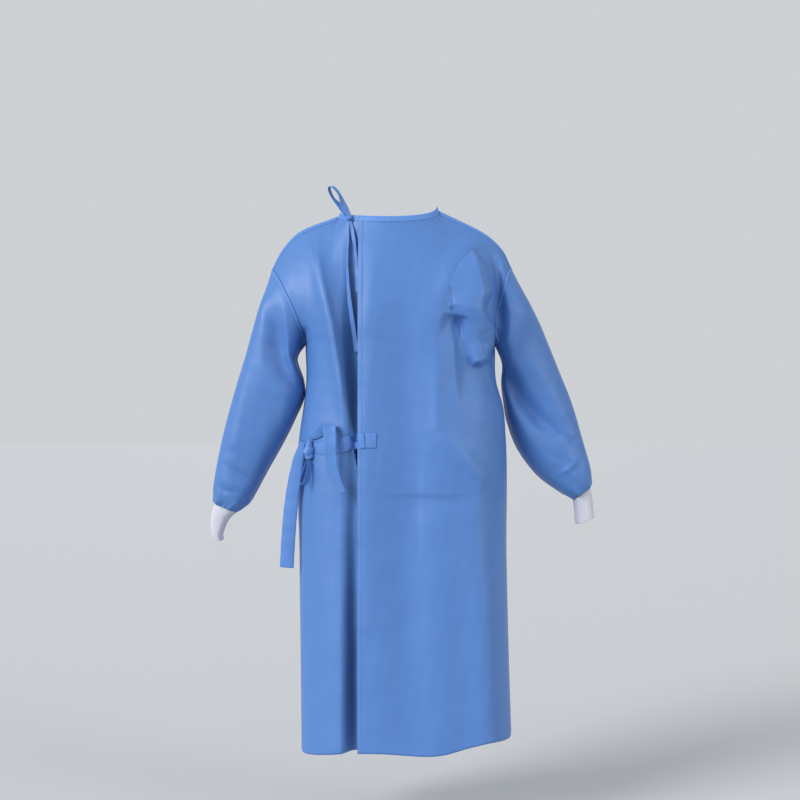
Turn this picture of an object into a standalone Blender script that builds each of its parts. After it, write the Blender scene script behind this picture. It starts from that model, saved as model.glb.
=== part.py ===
# A surgical gown, filled out with no wearer: panels, sleeves, cuffs, neck binding and ties.
# Metres, +Z up. The wearer's back faces -Y and the wearer's right is +X.
# The origin is where the shoulders carry the gown, level with the back neckline.

from collections import namedtuple
from math import copysign, cos, exp, hypot, pi, sin

import bmesh
import bpy
from mathutils import Vector

WALL = 0.0015
SEAM_GAP = 0.0003
ROUNDNESS = 2.3

ARMPIT_Z = -0.300
HEM_Z = -1.232
OVERLAP_EDGE_X = -0.076
UNDERLAP_EDGE_X = 0.035
UNDERLAP_DEPTH = 0.0060
NECK_TURN = 0.45
NECK_BACK_Y = -0.078
NECK_FRONT_Y = 0.085
NECK_BACK_Z = -0.020
NECK_FRONT_Z = -0.062
BINDING_WIDTH = 0.012
BINDING_WALL = 0.0022
NECK_TIE_WIDTH = 0.011
TIE_WALL = 0.0012
WAIST_TIE_WIDTH = 0.034
WAIST_TIE_Z = -0.524
GATHERS = 7
ARMHOLE_STEPS = 14
GATHER_HEIGHT = 0.0032

TrunkRow = namedtuple("TrunkRow", "z centre_x half_width half_depth")
TRUNK = [
    TrunkRow(-1.260, 0.0360, 0.2455, 0.160),
    TrunkRow(-1.020, 0.0310, 0.2430, 0.155),
    TrunkRow(-0.800, 0.0272, 0.2418, 0.150),
    TrunkRow(-0.510, 0.0260, 0.2405, 0.147),
    TrunkRow(-0.450, 0.0280, 0.2335, 0.144),
    TrunkRow(-0.390, 0.0230, 0.2220, 0.142),
    TrunkRow(-0.300, 0.0205, 0.2215, 0.140),
]

# A fold runs from one place to another on the back; a height below nought is a trough.
Fold = namedtuple("Fold", "x0 z0 x1 z1 radius height")
LEFT_FOLDS = [
    Fold(-0.188, -0.070, -0.165, -0.250, 0.030, 0.014),
    Fold(-0.165, -0.250, -0.100, -0.500, 0.024, 0.016),
    Fold(-0.112, -0.100, -0.092, -0.500, 0.016, -0.014),
    Fold(-0.150, -0.620, -0.140, -1.230, 0.040, 0.006),
]
RIGHT_FOLDS = [
    Fold(0.176, -0.080, 0.208, -0.200, 0.028, 0.018),
    Fold(0.208, -0.200, 0.188, -0.330, 0.026, 0.018),
    Fold(0.135, -0.262, 0.150, -0.430, 0.022, -0.022),
    Fold(0.150, -0.430, 0.200, -0.600, 0.026, -0.014),
    Fold(0.045, -0.180, 0.040, -1.150, 0.055, -0.010),
    Fold(0.175, -0.680, 0.200, -1.200, 0.055, 0.006),
]
FRONT_FOLDS = [
    Fold(-0.150, -0.300, -0.110, -0.650, 0.035, -0.012),
    Fold(0.165, -0.290, 0.150, -0.640, 0.032, -0.014),
    Fold(0.030, -0.300, 0.010, -1.200, 0.070, 0.010),
    Fold(-0.090, -0.800, -0.120, -1.230, 0.050, 0.008),
]

HemRow = namedtuple("HemRow", "x z")
BACK_HEM = [
    HemRow(-0.215, -1.252),
    HemRow(-0.150, -1.238),
    HemRow(-0.100, -1.230),
    HemRow(-0.040, -1.228),
    HemRow(0.120, -1.230),
    HemRow(0.200, -1.226),
    HemRow(0.282, -1.212),
]

# The top edge of each side, from the armhole's tip to the neck point.
ShoulderRow = namedtuple("ShoulderRow", "share x y z")
LEFT_SHOULDER = [
    ShoulderRow(0.00, -0.280, 0.004, -0.124),
    ShoulderRow(0.30, -0.255, 0.004, -0.078),
    ShoulderRow(0.55, -0.222, 0.003, -0.042),
    ShoulderRow(1.00, -0.124, 0.000, -0.001),
]
RIGHT_SHOULDER = [
    ShoulderRow(0.00, 0.279, 0.004, -0.117),
    ShoulderRow(0.30, 0.259, 0.000, -0.079),
    ShoulderRow(0.55, 0.226, -0.008, -0.048),
    ShoulderRow(1.00, 0.110, -0.010, 0.011),
]
ARMHOLE_BACK_DEPTH = 0.072
ARMHOLE_FRONT_DEPTH = 0.070
ARMHOLE_INSET = 0.012

# A sleeve's section spans from its outer to its inner outline; depth is along Y.
SleeveRow = namedtuple("SleeveRow", "outer_x outer_z inner_x inner_z centre_y half_depth")
LEFT_SLEEVE = [
    SleeveRow(-0.305, -0.198, -0.222, -0.335, 0.008, 0.078),
    SleeveRow(-0.327, -0.270, -0.208, -0.384, 0.014, 0.080),
    SleeveRow(-0.344, -0.330, -0.206, -0.424, 0.018, 0.078),
    SleeveRow(-0.366, -0.400, -0.226, -0.472, 0.022, 0.074),
    SleeveRow(-0.392, -0.492, -0.256, -0.532, 0.027, 0.070),
    SleeveRow(-0.409, -0.565, -0.292, -0.596, 0.031, 0.064),
    SleeveRow(-0.421, -0.632, -0.324, -0.655, 0.034, 0.056),
    SleeveRow(-0.4215, -0.664, -0.338, -0.678, 0.035, 0.048),
    SleeveRow(-0.4195, -0.676, -0.366, -0.6975, 0.036, 0.038),
]
LEFT_CUFF = [
    SleeveRow(-0.4195, -0.676, -0.366, -0.6975, 0.036, 0.038),
    SleeveRow(-0.4275, -0.708, -0.386, -0.716, 0.037, 0.036),
    SleeveRow(-0.4265, -0.745, -0.400, -0.748, 0.038, 0.034),
    SleeveRow(-0.4200, -0.762, -0.400, -0.764, 0.038, 0.033),
]
RIGHT_SLEEVE = [
    SleeveRow(0.317, -0.188, 0.262, -0.345, 0.022, 0.076),
    SleeveRow(0.350, -0.248, 0.262, -0.392, 0.044, 0.076),
    SleeveRow(0.373, -0.300, 0.268, -0.438, 0.056, 0.076),
    SleeveRow(0.402, -0.370, 0.277, -0.486, 0.062, 0.073),
    SleeveRow(0.430, -0.440, 0.301, -0.548, 0.064, 0.069),
    SleeveRow(0.456, -0.528, 0.347, -0.610, 0.065, 0.063),
    SleeveRow(0.474, -0.592, 0.397, -0.648, 0.066, 0.054),
    SleeveRow(0.4775, -0.627, 0.425, -0.665, 0.066, 0.046),
    SleeveRow(0.4745, -0.640, 0.434, -0.668, 0.066, 0.036),
]
RIGHT_CUFF = [
    SleeveRow(0.4745, -0.640, 0.434, -0.668, 0.066, 0.036),
    SleeveRow(0.4800, -0.668, 0.437, -0.690, 0.067, 0.034),
    SleeveRow(0.4850, -0.712, 0.440, -0.728, 0.068, 0.033),
]

BLUE = (0.145, 0.300, 0.640, 1.0)
PALE_BLUE = (0.260, 0.420, 0.720, 1.0)
WHITE = (0.780, 0.780, 0.820, 1.0)


def clear_scene():
    for thing in list(bpy.data.objects):
        bpy.data.objects.remove(thing, do_unlink=True)


def smooth(value, low, high):
    share = min(1.0, max(0.0, (value - low) / (high - low)))
    return share * share * (3 - 2 * share)


def spline(points, share):
    """A smooth line through points, with share running evenly from 0 to 1."""
    place = min(max(share, 0.0), 1.0) * (len(points) - 1)
    i = min(int(place), len(points) - 2)
    f = place - i
    before = points[i - 1] if i else points[0] * 2 - points[1]
    after = points[i + 2] if i + 2 < len(points) else points[-1] * 2 - points[-2]
    a, b = points[i], points[i + 1]
    slope_a, slope_b = (b - before) / 2, (after - a) / 2
    return (a * (2 * f**3 - 3 * f**2 + 1) + slope_a * (f**3 - 2 * f**2 + f)
            + b * (3 * f**2 - 2 * f**3) + slope_b * (f**3 - f**2))


def between(rows, key, value):
    """The row's other columns at a value of its first column, by straight lines."""
    rows = sorted(rows, key=lambda row: getattr(row, key))
    for low, high in zip(rows, rows[1:]):
        start, end = getattr(low, key), getattr(high, key)
        if value <= end or high is rows[-1]:
            share = min(1.0, max(0.0, (value - start) / (end - start)))
            return [a + (b - a) * share for a, b in zip(low, high)]


def fold_height(folds, x, z):
    """How far the cloth stands out at a place, from every fold that reaches it."""
    height = 0.0
    for fold in folds:
        along_x, along_z = fold.x1 - fold.x0, fold.z1 - fold.z0
        share = ((x - fold.x0) * along_x + (z - fold.z0) * along_z) / (along_x**2 + along_z**2)
        share = min(1.0, max(0.0, share))
        away = hypot(x - fold.x0 - share * along_x, z - fold.z0 - share * along_z)
        height += fold.height * exp(-((away / fold.radius) ** 2))
    return height


def trunk(turn, z, side):
    """The body below the armpits: turn is -1 at the left seam and 1 at the right one."""
    _, centre_x, half_width, half_depth = between(TRUNK, "z", z)
    angle = turn * pi / 2
    out = copysign(abs(sin(angle)) ** (2 / ROUNDNESS), turn)
    deep = abs(cos(angle)) ** (2 / ROUNDNESS)
    return Vector((centre_x + half_width * out, side * half_depth * deep, z))


def shoulder(rows, share):
    _, x, y, z = between(rows, "share", share)
    return Vector((x, y, z))


def neckline(turn, side):
    """The panels' top edge at the neck; turn is -1 at the left neck point and 1 at the right."""
    left, right = shoulder(LEFT_SHOULDER, 1.0), shoulder(RIGHT_SHOULDER, 1.0)
    share = (1 + sin(turn * pi / 2)) / 2
    ends = left.lerp(right, share)
    deep = cos(turn * pi / 2)
    reach = NECK_FRONT_Y if side > 0 else NECK_BACK_Y
    level = NECK_FRONT_Z if side > 0 else NECK_BACK_Z
    drop = deep**0.8 if side < 0 else deep
    return Vector((ends.x, ends.y * (1 - deep) + reach * deep, ends.z + (level - ends.z) * drop))


def top_edge(turn, side):
    if abs(turn) <= NECK_TURN:
        return neckline(turn / NECK_TURN, side)
    share = (1 - abs(turn)) / (1 - NECK_TURN)
    return shoulder(LEFT_SHOULDER if turn < 0 else RIGHT_SHOULDER, share)


def armhole(rise, side, hand):
    """The armhole's edge; rise is 0 at the pit and 1 at the tip, hand -1 is the left one."""
    pit = trunk(hand, ARMPIT_Z, side)
    tip = shoulder(LEFT_SHOULDER if hand < 0 else RIGHT_SHOULDER, 0.0)
    share = 0.5 * rise + 0.25 * (1 - cos(pi * rise))
    depth = ARMHOLE_FRONT_DEPTH if side > 0 else ARMHOLE_BACK_DEPTH
    bow = sin(pi * rise)
    return pit.lerp(tip, share) + Vector((-hand * ARMHOLE_INSET * bow, side * depth * bow, 0))


def yoke(turn, rise, side):
    """The body above the armpits; rise is 0 at the armpits and 1 at the top edge."""
    low, high = trunk(turn, ARMPIT_Z, side), top_edge(turn, side)
    soft = rise**2.2
    point = low.lerp(high, rise)
    point.y = low.y + (high.y - low.y) * soft
    for hand in (-1, 1):
        near = (1 + hand * turn) / 2
        start, end = trunk(hand, ARMPIT_Z, side), top_edge(hand, side)
        straight = start.lerp(end, rise)
        straight.y = start.y + (end.y - start.y) * soft
        away = armhole(rise, side, hand) - straight
        point += Vector((away.x * near**3, away.y * near**6, away.z * near**3))
    return point


def hem_z(x, side):
    if side < 0:
        return between(BACK_HEM, "x", x)[1]
    ends = smooth(x, -0.22, 0.28)
    level = BACK_HEM[0].z + (BACK_HEM[-1].z - BACK_HEM[0].z) * ends
    middle = max(0.0, 1 - ((x - 0.03) / 0.25) ** 2)
    return level + (HEM_Z - level) * middle


def body(turn, height, side):
    """The body's surface: height is 0 at the hem, 1 at the armpits and 2 at the top edge."""
    if height > 1:
        return yoke(turn, height - 1, side)
    x = trunk(turn, HEM_Z, side).x
    hem = hem_z(x, side)
    return trunk(turn, hem + (ARMPIT_Z - hem) * height, side)


def folded(point, folds, side, fade):
    return point + Vector((0, side * fold_height(folds, point.x, point.z) * fade, 0))


def edge_fade(turn, height):
    """Folds die out at the side seams, at the armholes and at the top edge."""
    return (1 - smooth(abs(turn), 0.80, 0.995)) * (1 - smooth(height, 1.86, 2.0))


def turn_at(x, height, side):
    """The turn whose point on the surface has this x."""
    low, high = -1.0, 1.0
    for _ in range(40):
        middle = (low + high) / 2
        if body(middle, height, side).x < x:
            low = middle
        else:
            high = middle
    return (low + high) / 2


def front_point(turn, height):
    point = body(turn, height, 1)
    return folded(point, FRONT_FOLDS, 1, edge_fade(turn, height))


def right_point(turn, height):
    point = body(turn, height, -1)
    return folded(point, RIGHT_FOLDS, -1, edge_fade(turn, height))


def left_point(turn, height):
    """The underlap follows the overlap beneath it, and sinks away from its edge lower down."""
    point = body(turn, height, -1)
    fade = edge_fade(turn, height)
    own = fold_height(LEFT_FOLDS, point.x, point.z)
    shared = fold_height(RIGHT_FOLDS, point.x, point.z)
    under = smooth(point.x, OVERLAP_EDGE_X - 0.040, OVERLAP_EDGE_X - 0.004)
    sink = UNDERLAP_DEPTH + 0.022 * smooth(-point.z, 0.56, 1.15) + 0.010 * smooth(-point.z, 0.10, 0.30)
    top = 1 - smooth(height, 1.75, 2.0)
    sink = 0.0036 + (sink - 0.0036) * top
    height_out = own * (1 - under) + min(shared, 0.0) * under
    return point + Vector((0, -height_out * fade + sink * under, 0))


def new_object(name, mesh_data, colour, roughness):
    mesh = bpy.data.meshes.new(name)
    mesh_data.normal_update()
    mesh_data.to_mesh(mesh)
    mesh_data.free()
    thing = bpy.data.objects.new(name, mesh)
    material = bpy.data.materials.new(name)
    material.use_nodes = True
    shader = material.node_tree.nodes["Principled BSDF"]
    shader.inputs["Base Color"].default_value = colour
    shader.inputs["Roughness"].default_value = roughness
    shader.inputs["Metallic"].default_value = 0.0
    mesh.materials.append(material)
    gown.objects.link(thing)
    return thing


def skin(name, outer, inner, colour, roughness, closed=False):
    """A cloth wall between two grids of points, closed along its rims."""
    data = bmesh.new()
    skins = [[[data.verts.new(p) for p in row] for row in grid] for grid in (outer, inner)]
    rows, columns = len(outer), len(outer[0])
    wrap = columns if closed else columns - 1
    for grid, flip in zip(skins, (False, True)):
        for r in range(rows - 1):
            for c in range(wrap):
                d = (c + 1) % columns
                ring = [grid[r][c], grid[r][d], grid[r + 1][d], grid[r + 1][c]]
                data.faces.new(ring[::-1] if flip else ring)
    out, back = skins
    for r, flip in ((0, True), (rows - 1, False)):
        for c in range(wrap):
            d = (c + 1) % columns
            ring = [out[r][c], out[r][d], back[r][d], back[r][c]]
            data.faces.new(ring[::-1] if flip else ring)
    if not closed:
        for c, flip in ((0, False), (columns - 1, True)):
            for r in range(rows - 1):
                ring = [out[r][c], out[r + 1][c], back[r + 1][c], back[r][c]]
                data.faces.new(ring[::-1] if flip else ring)
    bmesh.ops.recalc_face_normals(data, faces=data.faces)
    return new_object(name, data, colour, roughness)


def spread(start, end, count):
    return [start + (end - start) * i / count for i in range(count + 1)]


def neck_ways(turn, side):
    """At the neckline, the way up its binding and the way out of the cloth."""
    base = neckline(turn, side)
    inwards = (Vector((-0.007, 0.0, base.z)) - base).normalized()
    up = (inwards * 0.38 + Vector((0, 0, 0.92))).normalized()
    return up, (Vector((0, 0, 0.38)) - inwards * 0.92).normalized()


def armhole_inward(rise, side, hand):
    middle = armhole(0, side, hand).lerp(armhole(1, side, hand), 0.5)
    away = (middle - armhole(rise, side, hand)).normalized()
    at_pit = Vector((-0.55 * hand, 0, 0.83))
    return at_pit.lerp(away, smooth(rise, 0.0, 0.4)).normalized() * 1.3


def inward(surface, turn, height, side):
    """The way from the outside of the cloth to its inside, mitred where panels meet."""
    if height > 1.999 and abs(turn) > NECK_TURN + 0.001:
        return Vector((-0.45 * copysign(1, turn), 0, -1.0))
    if height > 1.999:
        return -neck_ways(turn / NECK_TURN, side)[1]
    if abs(turn) > 0.999 and height >= 1:
        return armhole_inward(height - 1, side, copysign(1, turn))
    if abs(turn) > 0.999:
        return Vector((-copysign(1, turn), 0, 0))
    step = 0.004
    across = surface(turn + step, height) - surface(turn - step, height)
    up = surface(turn, min(height + step, 1.998)) - surface(turn, max(height - step, 0.0))
    normal = across.cross(up).normalized()
    return normal * (1 if normal.dot(Vector((0, -side, 0.0))) > 0 else -1)


def panel(name, surface, side, turns, heights):
    """A body panel; turns gives a row's turns from its height."""
    outer, inner = [], []
    for height in heights:
        row = turns(height)
        outer.append([surface(turn, height) for turn in row])
        inner.append([surface(turn, height) + inward(surface, turn, height, side) * WALL for turn in row])
    return skin(name, outer, inner, BLUE, 0.55)


clear_scene()
gown = bpy.data.collections.new("surgical_gown")
bpy.context.scene.collection.children.link(gown)

# Front panel, from side seam to side seam
SIDE = 1 - 0.0004
NECK_STEPS = 12
ARMHOLE_SIDE = 1 - 0.0008
TOP = 2 - 0.0006
yoke_heights = spread(1, 2, ARMHOLE_STEPS)[:-1] + [TOP]
front_heights = spread(0, 0.9, 9) + [0.96] + yoke_heights


def side_turn(height):
    return SIDE + (ARMHOLE_SIDE - SIDE) * smooth(height, 0.98, 1.02)


def front_turns(height):
    side = side_turn(height)
    return (spread(-side, -NECK_TURN, 7)[:-1] + spread(-NECK_TURN, NECK_TURN, NECK_STEPS)[:-1]
            + spread(NECK_TURN, side, 7))


panel("front_panel", front_point, 1, front_turns, front_heights)

# Back panel on the wearer's right, which laps over the other
back_heights = spread(0, 0.6, 6) + [0.65, 0.7, 0.75, 0.8, 0.85, 0.9, 0.95] + yoke_heights


def right_turns(height):
    edge = turn_at(OVERLAP_EDGE_X, height, -1)
    return spread(edge, NECK_TURN, NECK_STEPS)[:-1] + spread(NECK_TURN, side_turn(height), 11)


panel("back_panel_right", right_point, -1, right_turns, back_heights)


# Back panel on the wearer's left, which passes beneath the other one's edge
def left_turns(height):
    edge = turn_at(OVERLAP_EDGE_X, height, -1)
    hidden = turn_at(UNDERLAP_EDGE_X, height, -1)
    side = side_turn(height)
    return spread(-side, -NECK_TURN, 6)[:-1] + spread(-NECK_TURN, edge, 4)[:-1] + spread(edge, hidden, 4)


panel("back_panel_left", left_point, -1, left_turns, back_heights)


# Sleeves and cuffs: tubes through rings, the first of a sleeve being its armhole
def section(row, angle):
    outer = Vector((row.outer_x, 0, row.outer_z))
    inner = Vector((row.inner_x, 0, row.inner_z))
    power = 2 / 2.2
    reach = copysign(abs(cos(angle)) ** power, cos(angle))
    deep = copysign(abs(sin(angle)) ** power, -sin(angle))
    point = outer.lerp(inner, (1 - reach) / 2)
    return point + Vector((0, row.centre_y + row.half_depth * deep, 0))


def armhole_ring(angle, hand):
    """The armhole's point and way inward at a sleeve's angle, from 0 at the tip, over the back."""
    if angle <= pi:
        rise, side = 1 - angle / pi, -1
    else:
        rise, side = angle / pi - 1, 1
    return armhole(rise, side, hand), armhole_inward(rise, side, hand)


def sleeve_point(rows, hand, share, angle):
    """A place on the sleeve; share is 0 at the armhole and 1 at the cuff."""
    start = armhole_ring(angle % (2 * pi), hand)[0]
    way = Vector((hand * 0.6, 0, -0.8)) * SEAM_GAP * 1.6
    points = [start + way] + [section(row, angle) for row in rows]
    point = spline(points, share)
    middles = [(section(row, 0) + section(row, pi)) / 2 for row in [rows[0]] + rows]
    centre = spline(middles, share)
    gathered = smooth(share, 0.78, 0.95) * (1 - 0.7 * smooth(share, 0.96, 1.0))
    out = (point - centre).normalized()
    return point + out * GATHER_HEIGHT * gathered * cos(GATHERS * angle)


def tube(name, point_at, shares, columns, colour, roughness, wall, starts):
    """A sleeve or a cuff; starts gives the first ring's way inward at each angle, or none."""
    outer, inner = [], []
    step = 0.01
    for share in shares:
        centre = sum((point_at(share, 2 * pi * k / 8) for k in range(8)), Vector()) / 8
        ring, lining = [], []
        for k in range(columns):
            angle = 2 * pi * k / columns
            point = point_at(share, angle)
            if share == shares[0] and starts:
                way = starts(angle)
            elif share in (shares[0], shares[-1]):
                way = (centre - point).normalized()
            else:
                along = point_at(min(share + step, 1), angle) - point_at(max(share - step, 0), angle)
                around = point_at(share, angle + 0.1) - point_at(share, angle - 0.1)
                way = along.cross(around).normalized()
                way *= 1 if way.dot(centre - point) > 0 else -1
            ring.append(point)
            lining.append(point + way * wall)
        outer.append(ring)
        inner.append(lining)
    return skin(name, outer, inner, colour, roughness, closed=True)


def cuff_point(rows, share, angle):
    first = rows[0]
    span = Vector((first.inner_x - first.outer_x, 0, first.inner_z - first.outer_z)).normalized()
    down = Vector((span.z, 0, -span.x))
    down *= -1 if down.z > 0 else 1
    return spline([section(row, angle) for row in rows], share) + down * SEAM_GAP


for name, hand, sleeve_rows, cuff_rows in (("left", -1, LEFT_SLEEVE, LEFT_CUFF),
                                           ("right", 1, RIGHT_SLEEVE, RIGHT_CUFF)):
    tube("sleeve_" + name,
         lambda share, angle: sleeve_point(sleeve_rows, hand, share, angle),
         spread(0, 1, 18), 2 * ARMHOLE_STEPS, BLUE, 0.55, WALL,
         lambda angle: armhole_ring(angle, hand)[1])
    tube("cuff_" + name,
         lambda share, angle: cuff_point(cuff_rows, share, angle),
         spread(0, 1, 5), 24, WHITE, 0.85, WALL, None)


# Neck binding, a folded strip along the panels' top edges
def binding(name, side, turns, sink):
    outer, inner = [], []
    for reach in (SEAM_GAP, BINDING_WIDTH):
        ring, lining = [], []
        for turn in turns:
            base = neckline(turn, side)
            up, out = neck_ways(turn, side)
            point = base + up * reach + Vector((0, sink(base.x), 0))
            ring.append(point + out * (BINDING_WALL - WALL) / 2)
            lining.append(point - out * (BINDING_WALL + WALL) / 2)
        outer.append(ring)
        inner.append(lining)
    return skin(name, outer, inner, PALE_BLUE, 0.5)


NECK_END = 1 - 0.0016
neck_edge = turn_at(OVERLAP_EDGE_X, 2.0, -1) / NECK_TURN
neck_hidden = turn_at(UNDERLAP_EDGE_X, 2.0, -1) / NECK_TURN


def neck_turns(*stops):
    """The panels' own places along the neckline, so that the binding's chords match theirs."""
    turns = []
    for (start, end), count in stops:
        turns = turns[:-1] + spread(start, end, count)
    return [min(NECK_END, max(-NECK_END, turn)) for turn in turns]


binding("neck_binding_front", 1, neck_turns(((-1, 1), NECK_STEPS)), lambda x: 0)
binding("neck_binding_right", -1, neck_turns(((neck_edge, 1), NECK_STEPS)), lambda x: 0)
binding("neck_binding_left", -1, neck_turns(((-1, neck_edge), 4), ((neck_edge, neck_hidden), 4)),
        lambda x: 0.0036 * smooth(x, OVERLAP_EDGE_X - 0.040, OVERLAP_EDGE_X - 0.004))


# Ties: bands through stations, each with a place, the way its face looks and its width
Station = namedtuple("Station", "place face width")


def band(name, stations, wall=TIE_WALL):
    outer, inner = [], []
    for i, station in enumerate(stations):
        before, after = stations[max(i - 1, 0)].place, stations[min(i + 1, len(stations) - 1)].place
        face = station.face.normalized()
        across = (after - before).cross(face).normalized() * station.width / 2
        steps = [-1, 0, 1]
        outer.append([station.place + across * s + face * wall / 2 for s in steps])
        inner.append([station.place + across * s - face * wall / 2 for s in steps])
    return skin(name, outer, inner, BLUE, 0.5)


def knot(name, place, radii, turns):
    """A tied knot: a soft ball with the grooves of the band wound round it."""
    data = bmesh.new()
    bmesh.ops.create_uvsphere(data, u_segments=14, v_segments=9, radius=1)
    for vert in data.verts:
        groove = 1 - 0.10 * cos(turns * vert.co.z * pi + vert.co.x)
        vert.co = Vector(place) + Vector(c * r * groove for c, r in zip(vert.co, radii))
    return new_object(name, data, BLUE, 0.5)


def on_back(x, z, lift):
    """A place this far off the outermost layer of the back."""
    low, high = 0.0, 2.0
    for _ in range(24):
        middle = (low + high) / 2
        if body(turn_at(x, middle, -1), middle, -1).z < z:
            low = middle
        else:
            high = middle
    turn = turn_at(x, low, -1)
    y = min(right_point(turn, low).y, left_point(turn, low).y)
    return Vector((x, y - lift, z))


NECK_KNOT_X = -0.094
NECK_KNOT_RADII = (0.0058, 0.0045, 0.0075)
knot_turn = turn_at(NECK_KNOT_X, 2.0, -1) / NECK_TURN
knot_up, knot_out = neck_ways(knot_turn, -1)
NECK_KNOT = neckline(knot_turn, -1) + knot_up * 0.003 + knot_out * (NECK_KNOT_RADII[1] + 0.0004)
knot("neck_tie_knot", NECK_KNOT, NECK_KNOT_RADII, 2)

LOOP_LENGTH = 0.080
LOOP_HALF_WIDTH = 0.0120
loop_axis = Vector((-0.53, 0.04, 0.85)).normalized()
loop_side = Vector((0.73, -0.57, 0.37)).normalized()
loop_foot = NECK_KNOT + Vector((-0.0030, 0.0, 0.0067))
loop_stations = []
for i in range(15):
    angle = pi * (0.06 + 1.88 * i / 14)
    rise = LOOP_LENGTH * (1 - cos(angle)) / 2
    swing = LOOP_HALF_WIDTH * sin(angle) * (0.45 + 0.55 * rise / LOOP_LENGTH)
    face = loop_side * sin(angle) - loop_axis * cos(angle) * 0.35
    loop_stations.append(Station(loop_foot + loop_axis * rise + loop_side * swing, face, NECK_TIE_WIDTH))
band("neck_tie_loop", loop_stations)

# Rows run down each neck tie's tail: a place on the back, how far off it and the face's twist
TailRow = namedtuple("TailRow", "x z lift twist width")
NECK_TAILS = {
    "neck_tie_tail_1": [
        TailRow(-0.0970, -0.0700, 0.008, 0.9, 0.010),
        TailRow(-0.0965, -0.1100, 0.007, 1.1, 0.010),
        TailRow(-0.0945, -0.1600, 0.007, 0.7, 0.010),
        TailRow(-0.0915, -0.2050, 0.007, 0.4, 0.011),
        TailRow(-0.0870, -0.2500, 0.006, 0.3, 0.011),
        TailRow(-0.0810, -0.3000, 0.005, 0.2, 0.011),
        TailRow(-0.0780, -0.3230, 0.005, 0.2, 0.011),
    ],
    "neck_tie_tail_2": [
        TailRow(-0.0850, -0.0600, 0.0030, -0.5, 0.010),
        TailRow(-0.0800, -0.1000, 0.0019, -0.7, 0.010),
        TailRow(-0.0765, -0.1400, 0.0018, -0.5, 0.010),
        TailRow(-0.0750, -0.1850, 0.0018, -0.3, 0.010),
    ],
}
for hand, (name, rows) in zip((-1, 1), NECK_TAILS.items()):
    foot = NECK_KNOT + Vector((0.0031 * hand, -0.0005, -0.0074))
    stations = [Station(foot, Vector((0.2 * hand, -1, 0)), 0.005)]
    for row in rows:
        face = Vector((sin(row.twist), -cos(row.twist), 0))
        stations.append(Station(on_back(row.x, row.z, row.lift), face, row.width))
    band(name, stations)

# Waist tie: its sewn end on the overlap, the strap to the left, the knot and what hangs from it
WAIST_KNOT = Vector((-0.188, -0.0943, -0.5460))
WAIST_RADII = (0.0105, 0.0085, 0.0250)
LIFT = 0.0003 + TIE_WALL / 2
knot("waist_tie_knot", WAIST_KNOT, WAIST_RADII, 3)


def strap_face(x, z):
    step = 0.006
    slope = (on_back(x + step, z, 0).y - on_back(x - step, z, 0).y) / (2 * step)
    return Vector((slope, -1, 0)).normalized()


def strap_stations(places, width, lift):
    return [Station(on_back(x, z, lift), strap_face(x, z), width) for x, z in places]


band("waist_tie_patch", strap_stations([(-0.034, WAIST_TIE_Z), (-0.047, WAIST_TIE_Z), (-0.0592, WAIST_TIE_Z)],
                                       WAIST_TIE_WIDTH, LIFT + 0.0006))
STRAP = [(-0.0596, -0.5240), (-0.0700, -0.5250), (-0.0800, -0.5270), (-0.0920, -0.5295), (-0.1080, -0.5330),
         (-0.1250, -0.5370), (-0.1450, -0.5405), (-0.1620, -0.5425), (-0.1762, -0.5435)]
strap = strap_stations(STRAP, WAIST_TIE_WIDTH, LIFT + 0.0022)
strap[-1] = strap[-1]._replace(width=0.024)
strap[-2] = strap[-2]._replace(width=0.029)
band("waist_tie_strap", strap)

SIDE_TIE = [(-0.2130, -0.5320), (-0.2118, -0.5350), (-0.2100, -0.5370), (-0.2075, -0.5390)]
side_end = Station(WAIST_KNOT + Vector((-0.0112, 0.0015, 0.002)), Vector((-0.75, -0.65, 0)), 0.018)
band("side_tie", strap_stations(SIDE_TIE, 0.022, LIFT + 0.0026) + [side_end])

SHORT_TAIL = [
    Station(Vector((-0.1850, -0.0953, -0.5180)), Vector((0.2, 1.0, 0.2)), 0.016),
    Station(Vector((-0.1620, -0.1120, -0.5040)), Vector((0.1, 1.0, 0.2)), 0.026),
    Station(Vector((-0.1450, -0.1275, -0.4915)), Vector((0.0, 0.8, 0.6)), 0.028),
    Station(Vector((-0.1420, -0.1330, -0.4895)), Vector((0.0, 0.0, 1.0)), 0.028),
    Station(Vector((-0.1400, -0.1390, -0.4925)), Vector((0.0, -0.8, 0.6)), 0.028),
    Station(Vector((-0.1380, -0.1480, -0.5200)), Vector((0.0, -1.0, 0.0)), 0.028),
    Station(Vector((-0.1370, -0.1500, -0.5600)), Vector((0.1, -1.0, 0.0)), 0.028),
    Station(Vector((-0.1300, -0.1520, -0.6000)), Vector((0.2, -1.0, 0.0)), 0.027),
    Station(Vector((-0.1120, -0.1540, -0.6420)), Vector((0.5, -1.0, 0.0)), 0.022),
]
band("waist_tie_tail_short", SHORT_TAIL)

LONG_TAIL = [
    Station(Vector((-0.2031, -0.0948, -0.5290)), Vector((-0.6, -0.8, 0.0)), 0.014),
    Station(Vector((-0.2110, -0.0860, -0.5560)), Vector((-0.5, -0.9, 0.0)), 0.024),
    Station(Vector((-0.2210, -0.0740, -0.6030)), Vector((-0.4, -0.9, 0.0)), 0.031),
    Station(Vector((-0.2300, -0.0640, -0.6600)), Vector((-0.3, -0.9, 0.0)), 0.033),
    Station(Vector((-0.2370, -0.0580, -0.7300)), Vector((-0.2, -1.0, 0.0)), 0.033),
    Station(Vector((-0.2410, -0.0540, -0.7900)), Vector((-0.2, -1.0, 0.0)), 0.033),
    Station(Vector((-0.2425, -0.0530, -0.8200)), Vector((-0.2, -1.0, 0.0)), 0.033),
]
band("waist_tie_tail_long", LONG_TAIL)

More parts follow.
